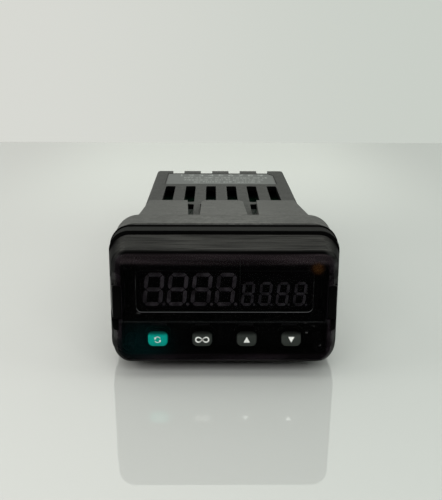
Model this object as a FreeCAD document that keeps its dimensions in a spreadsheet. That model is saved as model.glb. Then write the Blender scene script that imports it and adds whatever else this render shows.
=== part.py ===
"""Panel-mounted pid temperature controller, 1/32 size, as separate pieces.

Frame: origin at the centre of the panel face that the gasket seats on, on the axis of the
case.  +X is to the right as seen from the front, +Y runs rearwards into the panel, +Z is up,
so the face looks towards -Y.  All sizes are in millimetres.

The case is fixed in the panel by a collar that slides over it from behind.  The controller
itself (face, displays, keys and boards) draws out of the case towards the front.
"""
import FreeCAD, Part
import math
import os
import Sketcher

os.makedirs("parts", exist_ok=True)
doc = FreeCAD.newDocument("temperature_controller")

# ---------------------------------------------------------------- driving sizes
SIZES = [
    # case
    ("case_width", 44.2), ("case_height", 22.0), ("case_depth", 96.0), ("case_corner", 1.2),
    ("case_wall", 1.5), ("flange_width", 52.6), ("flange_height", 30.9),
    ("flange_corner", 4.6), ("flange_thickness", 4.0),
    ("vent_width", 3.05), ("vent_pitch", 6.37), ("vent_length", 23.5), ("vent_bevel", 0.5),
    ("vent_rear_margin", 26.8), ("vent_bridge", 2.7), ("vent_count", 6),
    ("side_vent_count", 2), ("tab_notch_count", 4),
    ("tab_notch_width", 3.95), ("tab_notch_depth", 4.5), ("tab_pitch", 9.65),
    ("label_width", 36.1), ("label_length", 18.5), ("label_rear_margin", 4.8),
    ("label_recess", 0.25), ("label_bevel_across", 1.8), ("label_bevel_along", 3.8),
    ("label_thickness", 0.15), ("label_gap", 0.2),
    ("ratchet_width", 12.4), ("ratchet_recess", 0.8), ("ratchet_pitch", 1.6),
    ("ratchet_height", 0.7), ("ratchet_margin", 0.6),
    ("board_rail_width", 1.0), ("board_rail_height", 1.2), ("board_rail_start", 9.0),
    ("board_rail_rear_gap", 4.0),
    ("rear_lip_width", 0.8), ("rear_lip_thickness", 1.2), ("rear_lip_inset", 7.5),
    # gasket
    ("gasket_thickness", 0.8), ("gasket_overhang", 0.25), ("gasket_case_gap", 0.1),
    # mounting collar
    ("collar_side_overhang", 0.15), ("collar_top_overhang", 0.55), ("collar_corner", 6.0),
    ("collar_rim_depth", 8.6), ("collar_length", 43.0), ("collar_case_gap", 0.2),
    ("collar_gasket_gap", 0.2), ("collar_tip_thickness", 0.9), ("collar_wall", 1.6),
    ("tongue_span", 41.2), ("finger_root_width", 11.6), ("finger_tip_width", 9.6),
    ("finger_taper_length", 3.4), ("slot_root_width", 17.2), ("slot_tip_width", 19.8),
    ("collar_core_depth", 6.4), ("collar_rib", 1.2), ("tooth_gap", 0.05),
    ("tooth_length", 2.4), ("tooth_inset", 4.0),
    # front cover
    ("cover_side_inset", 0.05), ("cover_top_inset", 0.85), ("cover_corner", 5.0),
    ("cover_depth", 8.4), ("cover_draft", 10.0), ("cover_front_wall", 1.3),
    ("cover_edge_bevel", 1.2), ("cover_flange_gap", 0.1), ("cover_side_wall", 3.15),
    ("cover_top_wall", 3.1), ("cavity_corner", 2.2), ("face_groove_drop", 3.25),
    ("face_groove_width", 0.3), ("face_groove_depth", 0.15),
    ("post_radius", 1.3), ("post_side_inset", 1.6), ("post_top_inset", 1.9),
    ("screw_radius", 0.6), ("screw_gap", 0.05), ("screw_head_radius", 1.1),
    ("screw_length", 6.0),
    # side latches
    ("latch_height", 7.6), ("latch_rise", 1.1), ("latch_thickness", 0.9),
    ("latch_gap", 0.15), ("latch_travel", 1.0), ("latch_channel_depth", 3.45),
    ("latch_channel_wall", 0.8), ("latch_face_inset", 0.5), ("latch_arm_height", 5.0),
    ("latch_hook_length", 1.0), ("latch_hook_reach", 0.55), ("latch_arm_reach", 2.8),
    ("latch_ledge_thickness", 1.4), ("latch_catch_gap", 0.05),
    ("nail_groove_depth", 0.4), ("nail_groove_width", 0.8), ("nail_groove_inset", 1.0),
    ("latch_recess_drop", 2.6), ("latch_recess_wall", 0.5),
    # keys
    ("key_pitch", 9.95), ("key_width", 4.4), ("key_height", 3.5), ("key_drop", 7.3),
    ("key_corner", 1.2), ("key_gap", 0.12), ("key_proud", 0.5), ("key_travel", 0.3),
    ("key_lip", 0.6), ("key_lip_thickness", 0.7), ("key_switch_gap", 0.4),
    ("key_edge_bevel", 0.3), ("switch_size", 3.4), ("switch_body", 1.1),
    ("plunger_width", 1.8),
    # displays
    ("display_gap", 0.2), ("display_thickness", 3.8), ("display_top_gap", 0.9),
    ("process_side_gap", 3.3), ("process_margin", 1.2), ("process_end", 0.25),
    ("set_side_gap", 3.19),
    ("display_bottom", 1.0), ("module_gap", 0.2), ("set_inner_margin", 0.1),
    ("set_outer_margin", 0.6),
    ("large_digit_height", 7.7), ("large_digit_gap", 0.98),
    ("small_digit_height", 5.6), ("small_digit_gap", 1.11), ("small_digit_pitch", 3.86),
    ("digit_base", 0.05), ("digit_slant", 6.0), ("segment_depth", 0.1), ("digit_count", 4),
    ("display_board_side_gap", 2.8), ("display_board_top_gap", 0.6), ("board_thickness", 1.2),
    # chassis and seal
    ("chassis_plate", 1.4), ("chassis_gap", 0.2), ("plug_depth", 6.0), ("plug_gap", 0.25),
    ("plug_wall", 1.2), ("seal_width", 1.4), ("seal_depth", 0.6), ("seal_gap", 0.1),
    ("seal_inset", 1.6),
    # boards inside the case
    ("main_board_thickness", 1.6), ("upper_board_height", 5.3), ("lower_board_height", -7.0),
    ("board_rail_gap", 0.2), ("board_side_gap", 0.3), ("board_start", 6.3),
    ("board_length", 76.0), ("tongue_board_width", 16.0), ("tongue_board_front", -4.0),
    ("clip_gap", 0.1), ("clip_thickness", 1.0),
    ("transformer_margin", 1.4), ("transformer_front", 14.0), ("transformer_width", 20.0),
    ("transformer_length", 20.0), ("transformer_height", 10.0), ("core_limb", 4.0),
    ("winding_gap", 0.2), ("relay_margin", 1.9), ("relay_front", 52.0), ("relay_width", 11.0),
    ("relay_length", 20.0), ("relay_height", 10.0), ("relay_pitch", 12.0),
    ("capacitor_radius", 4.0), ("capacitor_height", 9.5), ("capacitor_x", 10.0),
    ("capacitor_front", 20.0), ("capacitor_pitch", 14.0), ("chip_size", 10.0),
    ("chip_height", 1.2), ("chip_front", 30.0), ("chip_pitch", 22.0),
    ("link_width", 12.0),
    # terminals at the rear
    ("terminal_count", 8), ("terminal_pitch", 4.7), ("terminal_height", 8.4),
    ("terminal_split", 0.3), ("terminal_body_depth", 4.6), ("terminal_nose_depth", 5.2),
    ("terminal_end", 0.8), ("terminal_side_gap", 0.2), ("terminal_gap", 0.1),
    ("wire_entry_width", 3.0), ("wire_entry_height", 2.6), ("wire_entry_depth", 6.5),
    ("wire_entry_drop", 2.2), ("terminal_screw_radius", 1.2), ("terminal_screw_rise", 2.0),
    ("terminal_screw_length", 4.0), ("terminal_screw_inset", 0.5),
    ("screw_slot_width", 0.5), ("screw_slot_depth", 0.6), ("pin_size", 0.8),
    ("pin_reach", 2.6), ("pin_overlap", 2.0), ("pin_gap", 0.2), ("clamp_wall", 0.35),
    ("clamp_length", 3.0), ("clamp_inset", 1.5),
]
sheet = doc.addObject("Spreadsheet::Sheet", "sizes")
for row, (alias, size) in enumerate(SIZES, 1):
    sheet.set(f"A{row}", alias)
    sheet.set(f"B{row}", str(size))
    sheet.setAlias(f"B{row}", alias)
doc.recompute()


def expr(text):
    """Turn plain size names into an expression on the sheet."""
    words = {alias for alias, _ in SIZES}
    out, word = [], ""
    for char in text + " ":
        if char.isalnum() or char == "_":
            word += char
            continue
        out.append("sizes." + word if word in words else word)
        out.append(char)
        word = ""
    return "".join(out).strip()


def number(text):
    """The value that an expression in size names has now."""
    result = sheet.evalExpression(expr(text))
    return float(getattr(result, "Value", result))


# Levels along the axis, each worked out from the sizes.
FLANGE_REAR = "(-gasket_thickness)"
FLANGE_FRONT = "(-gasket_thickness - flange_thickness)"
COVER_REAR = "(-gasket_thickness - flange_thickness - cover_flange_gap)"
FACE = "(-gasket_thickness - flange_thickness - cover_flange_gap - cover_depth)"
INNER_FACE = f"({FACE} + cover_front_wall)"
DISPLAY_FRONT = f"({INNER_FACE} + display_gap)"
BOARD_FRONT = f"({DISPLAY_FRONT} + display_thickness)"
BOARD_REAR = f"({BOARD_FRONT} + board_thickness)"
PLATE_FRONT = f"({COVER_REAR} - chassis_plate)"
PLUG_REAR = f"({COVER_REAR} + plug_depth + flange_thickness)"
TUBE_HALF_WIDTH = "(case_width/2 - case_wall)"
TUBE_HALF_HEIGHT = "(case_height/2 - case_wall)"
FRONT_ROW = "(case_depth - vent_rear_margin - 3*vent_length/2 - vent_bridge)"
COLLAR_WIDTH = "(flange_width + 2*collar_side_overhang)"
COLLAR_HEIGHT = "(flange_height + 2*collar_top_overhang)"
COVER_WIDTH = "(flange_width - 2*cover_side_inset)"
COVER_HEIGHT = "(flange_height - 2*cover_top_inset)"
CAVITY_WIDTH = f"({COVER_WIDTH} - 2*cover_side_wall)"
CAVITY_HEIGHT = f"({COVER_HEIGHT} - 2*cover_top_wall)"
POST_X = f"({CAVITY_WIDTH}/2 - post_side_inset)"
POST_Z = f"({CAVITY_HEIGHT}/2 - post_top_inset)"
CORNERS = (("upper_left", "-", ""), ("upper_right", "", ""),
           ("lower_left", "-", "-"), ("lower_right", "", "-"))
CHANNEL_X = f"({COVER_WIDTH}/2 - latch_channel_depth)"
LATCH_INNER = f"({CHANNEL_X} + latch_gap)"
LATCH_ARM_INNER = f"({LATCH_INNER} + latch_hook_reach)"
LATCH_ARM_OUTER = f"({LATCH_ARM_INNER} + latch_thickness)"
LATCH_ARM_END = f"({FLANGE_FRONT} + latch_arm_reach)"
LIP_FRONT = "(case_depth - rear_lip_inset)"
BOARD_END = "(board_start + board_length)"
TERMINAL_SPAN = "(terminal_pitch*(terminal_count - 1))"
NOSE_REAR = f"({LIP_FRONT} + terminal_nose_depth)"
PROCESS_LEFT = f"(process_side_gap - {CHANNEL_X})"
SET_RIGHT = f"({CHANNEL_X} - set_side_gap)"
SET_LEFT = f"({SET_RIGHT} - set_outer_margin - digit_count*small_digit_pitch - set_inner_margin)"
PROCESS_RIGHT = f"({SET_LEFT} - module_gap)"
LARGE_DIGIT_LEFT = f"({PROCESS_LEFT} + process_margin)"
SMALL_DIGIT_LEFT = f"({SET_LEFT} + set_inner_margin)"
LARGE_DIGIT_PITCH = f"(({PROCESS_RIGHT} - process_end - {LARGE_DIGIT_LEFT})/digit_count)"
DISPLAY_TOP = f"({CAVITY_HEIGHT}/2 - display_top_gap)"
DISPLAY_BOARD_X = f"({CHANNEL_X} - display_board_side_gap)"
DISPLAY_BOARD_Z = f"({CAVITY_HEIGHT}/2 - display_board_top_gap)"
SLOPE = "tan(cover_draft)"

FRONT_VIEW = "XZ_Plane"
TOP_VIEW = "XY_Plane"
SIDE_VIEW = "YZ_Plane"


# ---------------------------------------------------------------- modelling helpers
def new_body(label):
    body = doc.addObject("PartDesign::Body", label)
    body.Label = label
    return body


def origin_feature(body, role):
    return next(f for f in body.Origin.OriginFeatures if f.Role == role)


def new_sketch(body, name, view, level="0", shift=("0", "0")):
    """A sketch parallel to one of the body's planes, at a level and shifted in it."""
    sketch = body.newObject("Sketcher::SketchObject", name)
    sketch.AttachmentSupport = [(origin_feature(body, view), "")]
    sketch.MapMode = "FlatFace"
    out_of_plane = f"-({level})" if view == FRONT_VIEW else level
    for axis, value in zip("xyz", (shift[0], shift[1], out_of_plane)):
        sketch.setExpression(f"AttachmentOffset.Base.{axis}", expr(value))
    return sketch


def drive(sketch, constraint, text):
    index = sketch.addConstraint(constraint)
    sketch.setExpression(f"Constraints[{index}]", expr(text))


def draw_polygon(sketch, points):
    """A closed outline whose corners are expressions from the sketch's origin."""
    corners = [FreeCAD.Vector(number(x), number(y), 0) for x, y in points]
    first = sketch.GeometryCount
    count = len(points)
    for i in range(count):
        sketch.addGeometry(Part.LineSegment(corners[i], corners[(i + 1) % count]))
    for i in range(count):
        here, following = first + i, first + (i + 1) % count
        sketch.addConstraint(Sketcher.Constraint("Coincident", here, 2, following, 1))
    for i, (x, y) in enumerate(points):
        line = first + i
        drive(sketch, Sketcher.Constraint("DistanceX", -1, 1, line, 1, corners[i].x), x)
        drive(sketch, Sketcher.Constraint("DistanceY", -1, 1, line, 1, corners[i].y), y)


def draw_rectangle(sketch, width, height, centre=("0", "0")):
    left, right = f"{centre[0]} - ({width})/2", f"{centre[0]} + ({width})/2"
    low, high = f"{centre[1]} - ({height})/2", f"{centre[1]} + ({height})/2"
    draw_polygon(sketch, [(left, low), (right, low), (right, high), (left, high)])


def draw_bevelled_rectangle(sketch, width, height, bevel):
    """A centred rectangle whose four corners are cut off at 45 degrees."""
    x, y = f"({width})/2", f"({height})/2"
    inner_x, inner_y = f"({x} - {bevel})", f"({y} - {bevel})"
    draw_polygon(sketch, [(f"-{inner_x}", f"-{y}"), (inner_x, f"-{y}"),
                          (x, f"-{inner_y}"), (x, inner_y), (inner_x, y),
                          (f"-{inner_x}", y), (f"-{x}", inner_y), (f"-{x}", f"-{inner_y}")])


def draw_circle(sketch, radius):
    size = number(radius)
    circle = sketch.addGeometry(Part.Circle(FreeCAD.Vector(), FreeCAD.Vector(0, 0, 1), size))
    sketch.addConstraint(Sketcher.Constraint("Coincident", circle, 3, -1, 1))
    drive(sketch, Sketcher.Constraint("Radius", circle, size), radius)


def draw_round_rectangle(sketch, width, height, radius):
    """A rectangle with round corners, centred on the sketch's origin."""
    w, h, r = number(width) / 2, number(height) / 2, number(radius)
    point = FreeCAD.Vector
    first = sketch.GeometryCount
    sketch.addGeometry(Part.LineSegment(point(r - w, -h, 0), point(w - r, -h, 0)))
    sketch.addGeometry(Part.LineSegment(point(w, r - h, 0), point(w, h - r, 0)))
    sketch.addGeometry(Part.LineSegment(point(w - r, h, 0), point(r - w, h, 0)))
    sketch.addGeometry(Part.LineSegment(point(-w, h - r, 0), point(-w, r - h, 0)))
    corners = [(w - r, r - h, 1.5), (w - r, h - r, 0.0), (r - w, h - r, 0.5), (r - w, r - h, 1.0)]
    for x, y, turn in corners:
        circle = Part.Circle(point(x, y, 0), point(0, 0, 1), r)
        start = turn * math.pi
        sketch.addGeometry(Part.ArcOfCircle(circle, start, start + math.pi / 2))
    for i in range(4):
        line, arc, following = first + i, first + 4 + i, first + (i + 1) % 4
        sketch.addConstraint(Sketcher.Constraint("Tangent", line, 2, arc, 1))
        sketch.addConstraint(Sketcher.Constraint("Tangent", arc, 2, following, 1))
        kind = "Vertical" if i % 2 else "Horizontal"
        sketch.addConstraint(Sketcher.Constraint(kind, line))
        if i:
            sketch.addConstraint(Sketcher.Constraint("Equal", first + 4, arc))
    sketch.addConstraint(Sketcher.Constraint("Symmetric", first, 1, first + 2, 1, -1, 1))
    across = Sketcher.Constraint("DistanceX", first + 3, 1, first + 1, 1, 2 * w)
    drive(sketch, across, width)
    drive(sketch, Sketcher.Constraint("DistanceY", first, 1, first + 2, 1, 2 * h), height)
    drive(sketch, Sketcher.Constraint("Radius", first + 4, r), radius)


def sweep(body, kind, name, sketch, length, towards=1, both=False, taper=None):
    """Pad or Pocket a sketch: towards is the sign of the row axis that it runs along."""
    feature = body.newObject(f"PartDesign::{kind}", name)
    feature.Profile = sketch
    feature.setExpression("Length", expr(length))
    along_normal = towards > 0
    if sketch.AttachmentSupport[0][0].Role == FRONT_VIEW:
        along_normal = not along_normal
    if kind == "Pad":
        feature.Reversed = not along_normal
    else:
        feature.Reversed = along_normal
    if both:
        feature.SideType = "Symmetric"
    if taper:
        feature.setExpression("TaperAngle", expr(taper))
    body.Tip = feature
    return feature


def pad(body, name, sketch, length, **options):
    return sweep(body, "Pad", name, sketch, length, **options)


def pocket(body, name, sketch, length, **options):
    return sweep(body, "Pocket", name, sketch, length, **options)


def row_of(body, feature, role, step, count):
    """Repeat a feature along one of the body's axes."""
    pattern = body.newObject("PartDesign::LinearPattern", feature.Name + "_row")
    pattern.Originals = [feature]
    pattern.Direction = (origin_feature(body, role), [""])
    pattern.setExpression("Length", expr(f"({step})*({count} - 1)"))
    pattern.Occurrences = int(number(count))
    body.Tip = pattern
    return pattern


def bevel_front_edges(body, name, feature, level, size):
    """Chamfer the feature's edges that lie in the plane at this level of the axis."""
    doc.recompute()
    plane = number(level)
    edges = [f"Edge{i}" for i, edge in enumerate(feature.Shape.Edges, 1)
             if abs(edge.BoundBox.YMin - plane) < 1e-4
             and abs(edge.BoundBox.YMax - plane) < 1e-4]
    bevel = body.newObject("PartDesign::Chamfer", name)
    bevel.Base = (feature, edges)
    bevel.setExpression("Size", expr(size))
    body.Tip = bevel
    return bevel


def place(shape, position):
    for axis, value in zip("xyz", position):
        shape.setExpression(f"Placement.Base.{axis}", expr(value))


def block(name, low, high):
    """A box between two corners given as expressions."""
    box = doc.addObject("Part::Box", name)
    for side, start, end in zip(("Length", "Width", "Height"), low, high):
        box.setExpression(side, expr(f"({end}) - ({start})"))
    place(box, low)
    return box


def faceted_bar(name, centre, radius, length):
    """A twelve-sided bar in place of a small round one, rearwards from its centre point."""
    bar = doc.addObject("Part::Prism", name)
    bar.Polygon = 12
    bar.setExpression("Circumradius", expr(radius))
    bar.setExpression("Height", expr(length))
    bar.Placement.Rotation = FreeCAD.Rotation(FreeCAD.Vector(1, 0, 0), -90)
    place(bar, centre)
    return bar


def fused(name, pieces):
    union = doc.addObject("Part::MultiFuse", name)
    union.Shapes = pieces
    union.Refine = True
    return union


def group(name, pieces):
    compound = doc.addObject("Part::Compound", name)
    compound.Links = pieces
    return compound


def cut(name, base, tool):
    difference = doc.addObject("Part::Cut", name)
    difference.Base = base
    difference.Tool = tool
    difference.Refine = True
    return difference


nodes = {}


def keep(node, piece):
    piece.Label = node
    nodes[node] = piece


# ---------------------------------------------------------------- case
def make_case():
    """One moulding: flanged tube, rails, catches, vents, ratchet beds, tabs, label recess."""
    body = new_body("case_shell")
    outline = new_sketch(body, "tube_outline", FRONT_VIEW, FLANGE_FRONT)
    draw_round_rectangle(outline, "case_width", "case_height", "case_corner")
    pad(body, "tube", outline, f"case_depth - {FLANGE_FRONT}")
    outline = new_sketch(body, "flange_outline", FRONT_VIEW, FLANGE_FRONT)
    draw_round_rectangle(outline, "flange_width", "flange_height", "flange_corner")
    pad(body, "flange", outline, "flange_thickness")
    outline = new_sketch(body, "cavity_outline", FRONT_VIEW, FLANGE_FRONT)
    draw_round_rectangle(outline, f"2*{TUBE_HALF_WIDTH}", f"2*{TUBE_HALF_HEIGHT}",
                         "case_corner/2")
    pocket(body, "cavity", outline, f"case_depth - {FLANGE_FRONT}")
    add_board_rails(body)
    add_rear_lips(body)
    cut_latch_catches(body)
    cut_vents(body)
    cut_rear_tabs(body)
    cut_label_bed(body)
    add_ratchet_ridges(body)
    keep("case_shell", body)


def add_board_rails(body):
    """A pair of rails on each side wall for each of the two boards."""
    outline = new_sketch(body, "rail_outline", FRONT_VIEW, "board_rail_start")
    for sign in ("-", ""):
        x = f"({sign}({TUBE_HALF_WIDTH} - board_rail_height/2 + case_wall/4))"
        for level in ("upper_board_height", "lower_board_height"):
            above = f"{level} + main_board_thickness + board_rail_gap + board_rail_width/2"
            below = f"{level} - board_rail_gap - board_rail_width/2"
            for z in (above, below):
                draw_rectangle(outline, "board_rail_height + case_wall/2",
                               "board_rail_width", (x, z))
    pad(body, "rails", outline, f"{BOARD_END} - board_rail_rear_gap - board_rail_start")


def add_rear_lips(body):
    """The upright lips that the terminal blocks seat against."""
    outline = new_sketch(body, "lip_outline", FRONT_VIEW, LIP_FRONT)
    for sign in ("-", ""):
        x = f"({sign}({TUBE_HALF_WIDTH} - rear_lip_width/2 + case_wall/4))"
        draw_rectangle(outline, "rear_lip_width + case_wall/2",
                       f"2*{TUBE_HALF_HEIGHT} + case_wall/2", (x, "0"))
    pad(body, "lips", outline, "rear_lip_thickness")


def cut_latch_catches(body):
    """Pockets for the side latches' hooks, undercut behind a ledge."""
    outer = f"({LATCH_ARM_OUTER} + latch_travel + latch_gap)"
    ledge = f"({LATCH_INNER} - latch_catch_gap)"
    undercut = f"({ledge} - latch_hook_reach)"
    height = "latch_arm_height + 2*latch_gap"
    mouth = new_sketch(body, "catch_outline", FRONT_VIEW, FLANGE_FRONT)
    behind = new_sketch(body, "undercut_outline", FRONT_VIEW,
                        f"{FLANGE_FRONT} + latch_ledge_thickness")
    for sign in ("-", ""):
        draw_rectangle(mouth, f"{outer} - {ledge}", height,
                       (f"{sign}({outer} + {ledge})/2", "latch_rise"))
        draw_rectangle(behind, f"{outer} - {undercut}", height,
                       (f"{sign}({outer} + {undercut})/2", "latch_rise"))
    pocket(body, "catch", mouth, "latch_arm_reach + latch_gap")
    pocket(body, "undercut", behind, "latch_arm_reach - latch_ledge_thickness + latch_gap")


def cut_vents(body):
    """Vents through top and bottom: a full row behind, and two beside each ratchet bed."""
    rear_row = f"({FRONT_ROW} + vent_bridge + vent_length)"
    first = "(-(vent_count - 1)/2*vent_pitch)"
    rows = (("rear", rear_row, first, "vent_count"),
            ("left", FRONT_ROW, first, "side_vent_count"),
            ("right", FRONT_ROW, f"-{first} - (side_vent_count - 1)*vent_pitch",
             "side_vent_count"))
    for name, middle, start, count in rows:
        outline = new_sketch(body, f"{name}_vent_outline", TOP_VIEW, "0", (start, middle))
        draw_bevelled_rectangle(outline, "vent_width", "vent_length", "vent_bevel")
        vent = pocket(body, f"{name}_vent", outline, "2*case_height", both=True)
        row_of(body, vent, "X_Axis", "vent_pitch", count)


def cut_rear_tabs(body):
    """Notches that leave five tabs along the top and bottom rear edges."""
    outline = new_sketch(body, "notch_outline", TOP_VIEW, "0",
                         ("-(tab_notch_count - 1)/2*tab_pitch", "case_depth"))
    draw_rectangle(outline, "tab_notch_width", "2*tab_notch_depth")
    notch = pocket(body, "tab_notch", outline, "2*case_height", both=True)
    row_of(body, notch, "X_Axis", "tab_pitch", "tab_notch_count")


def cut_label_bed(body):
    """A shallow recess for the label on top, one rear corner cut off."""
    rear = "(case_depth - label_rear_margin)"
    half = "(label_width/2)"
    outline = new_sketch(body, "label_outline", TOP_VIEW, "case_height/2")
    draw_polygon(outline, [(f"-{half}", f"{rear} - label_length"),
                           (half, f"{rear} - label_length"),
                           (half, f"{rear} - label_bevel_along"),
                           (f"{half} - label_bevel_across", rear), (f"-{half}", rear)])
    pocket(body, "label_bed", outline, "label_recess", towards=-1)


def add_ratchet_ridges(body):
    """Shallow beds with saw ridges, above and below, that the collar's fingers ride over."""
    for side, sign, towards in (("upper", "", -1), ("lower", "-", 1)):
        outline = new_sketch(body, f"{side}_bed_outline", TOP_VIEW,
                             f"{sign}case_height/2", ("0", FRONT_ROW))
        draw_rectangle(outline, "ratchet_width", "vent_length")
        pocket(body, f"{side}_bed", outline, "ratchet_recess", towards=towards)
        floor = f"({sign}(case_height/2 - ratchet_recess))"
        crest = f"({sign}(case_height/2 - ratchet_recess + ratchet_height))"
        start = f"({FRONT_ROW} - vent_length/2 + ratchet_margin)"
        outline = new_sketch(body, f"{side}_ridge_outline", SIDE_VIEW)
        for i in range(int(number("(vent_length - ratchet_margin)/ratchet_pitch"))):
            foot = f"({start} + {i}*ratchet_pitch)"
            draw_polygon(outline, [(foot, floor), (f"{foot} + ratchet_pitch/2", crest),
                                   (f"{foot} + ratchet_pitch/2", floor)])
        pad(body, f"{side}_ridges", outline, "ratchet_width", both=True)


def make_gasket():
    body = new_body("panel_gasket")
    outline = new_sketch(body, "gasket_outline", FRONT_VIEW, FLANGE_REAR)
    draw_round_rectangle(outline, "flange_width + 2*gasket_overhang",
                         "flange_height + 2*gasket_overhang",
                         "flange_corner + gasket_overhang")
    pad(body, "gasket_sheet", outline, "gasket_thickness")
    outline = new_sketch(body, "gasket_opening_outline", FRONT_VIEW, FLANGE_REAR)
    draw_round_rectangle(outline, "case_width + 2*gasket_case_gap",
                         "case_height + 2*gasket_case_gap", "case_corner + gasket_case_gap")
    pocket(body, "gasket_opening", outline, "gasket_thickness")
    keep("panel_gasket", body)


def make_label():
    body = new_body("rating_label")
    rear = "(case_depth - label_rear_margin - label_gap)"
    half = "(label_width/2 - label_gap)"
    front = "(case_depth - label_rear_margin - label_length + label_gap)"
    outline = new_sketch(body, "label_sheet_outline", TOP_VIEW,
                         "case_height/2 - label_recess")
    draw_polygon(outline, [(f"-{half}", front), (half, front),
                           (half, f"{rear} - label_bevel_along"),
                           (f"{half} - label_bevel_across", rear), (f"-{half}", rear)])
    pad(body, "label_sheet", outline, "label_thickness")
    keep("rating_label", body)


# ---------------------------------------------------------------- mounting collar
def make_collar():
    """A rim around the case with three tongues above and below that slope to its skin."""
    body = new_body("mounting_collar")
    front = "collar_gasket_gap"
    outline = new_sketch(body, "rim_outline", FRONT_VIEW, front)
    draw_round_rectangle(outline, COLLAR_WIDTH, COLLAR_HEIGHT, "collar_corner")
    pad(body, "rim", outline, "collar_rim_depth")
    tip = "(case_height/2 + collar_case_gap + collar_tip_thickness)"
    rear = "(collar_gasket_gap + collar_length)"
    crest = f"({COLLAR_HEIGHT}/2)"
    shoulder = "(collar_gasket_gap + collar_rim_depth)"
    outline = new_sketch(body, "tongue_profile", SIDE_VIEW)
    draw_polygon(outline, [(f"{shoulder} - collar_wall", crest), (shoulder, crest),
                           (rear, tip), (rear, f"-{tip}"),
                           (shoulder, f"-{crest}"), (f"{shoulder} - collar_wall", f"-{crest}")])
    pad(body, "tongues", outline, "tongue_span", both=True)

    # The rim is cored from its panel side, leaving its skin, the sleeve and cross ribs.
    outline = new_sketch(body, "core_outline", FRONT_VIEW, front)
    draw_round_rectangle(outline, f"{COLLAR_WIDTH} - 2*collar_wall",
                         f"{COLLAR_HEIGHT} - 2*collar_wall", "collar_corner - collar_wall")
    draw_round_rectangle(outline, "case_width + 2*collar_case_gap + 2*collar_wall",
                         "case_height + 2*collar_case_gap + 2*collar_wall",
                         "case_corner + collar_case_gap + collar_wall")
    pocket(body, "rim_core", outline, "collar_core_depth")
    for name, x in (("left_rib", "-tongue_span/4"), ("right_rib", "tongue_span/4")):
        outline = new_sketch(body, f"{name}_outline", FRONT_VIEW, front, (x, "0"))
        draw_rectangle(outline, "collar_rib", f"{COLLAR_HEIGHT} - collar_wall")
        pad(body, name, outline, "collar_core_depth + collar_wall/2")
    outline = new_sketch(body, "cross_rib_outline", FRONT_VIEW, front)
    draw_rectangle(outline, f"{COLLAR_WIDTH} - collar_wall", "collar_rib")
    pad(body, "cross_rib", outline, "collar_core_depth + collar_wall/2")

    outline = new_sketch(body, "sleeve_outline", FRONT_VIEW, front)
    draw_round_rectangle(outline, "case_width + 2*collar_case_gap",
                         "case_height + 2*collar_case_gap", "case_corner + collar_case_gap")
    pocket(body, "sleeve", outline, "collar_length")

    # Two dovetail slots free the middle finger above and below.
    for side, sign in (("left", "-"), ("right", "")):
        root, end = shoulder, f"({rear} + collar_wall)"
        outline = new_sketch(body, f"{side}_slot_outline", TOP_VIEW)
        draw_polygon(outline, [(f"{sign}finger_root_width/2", root),
                               (f"{sign}slot_root_width/2", root),
                               (f"{sign}slot_tip_width/2", end),
                               (f"{sign}finger_tip_width/2", end),
                               (f"{sign}finger_tip_width/2", rear),
                               (f"{sign}finger_root_width/2", f"{rear} - finger_taper_length")])
        pocket(body, f"{side}_slot", outline, f"2*{COLLAR_HEIGHT}", both=True)

    # A tooth under each finger runs just above the case's ratchet ridges.
    for side, sign in (("upper", ""), ("lower", "-")):
        skin = f"({sign}(case_height/2 + collar_case_gap + collar_tip_thickness/2))"
        point = f"({sign}(case_height/2 + tooth_gap))"
        end = f"({rear} - tooth_inset)"
        outline = new_sketch(body, f"{side}_tooth_outline", SIDE_VIEW)
        draw_polygon(outline, [(f"{end} - tooth_length", skin), (end, skin),
                               (end, point)])
        pad(body, f"{side}_tooth", outline, "finger_tip_width", both=True)
    keep("mounting_collar", body)


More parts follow.
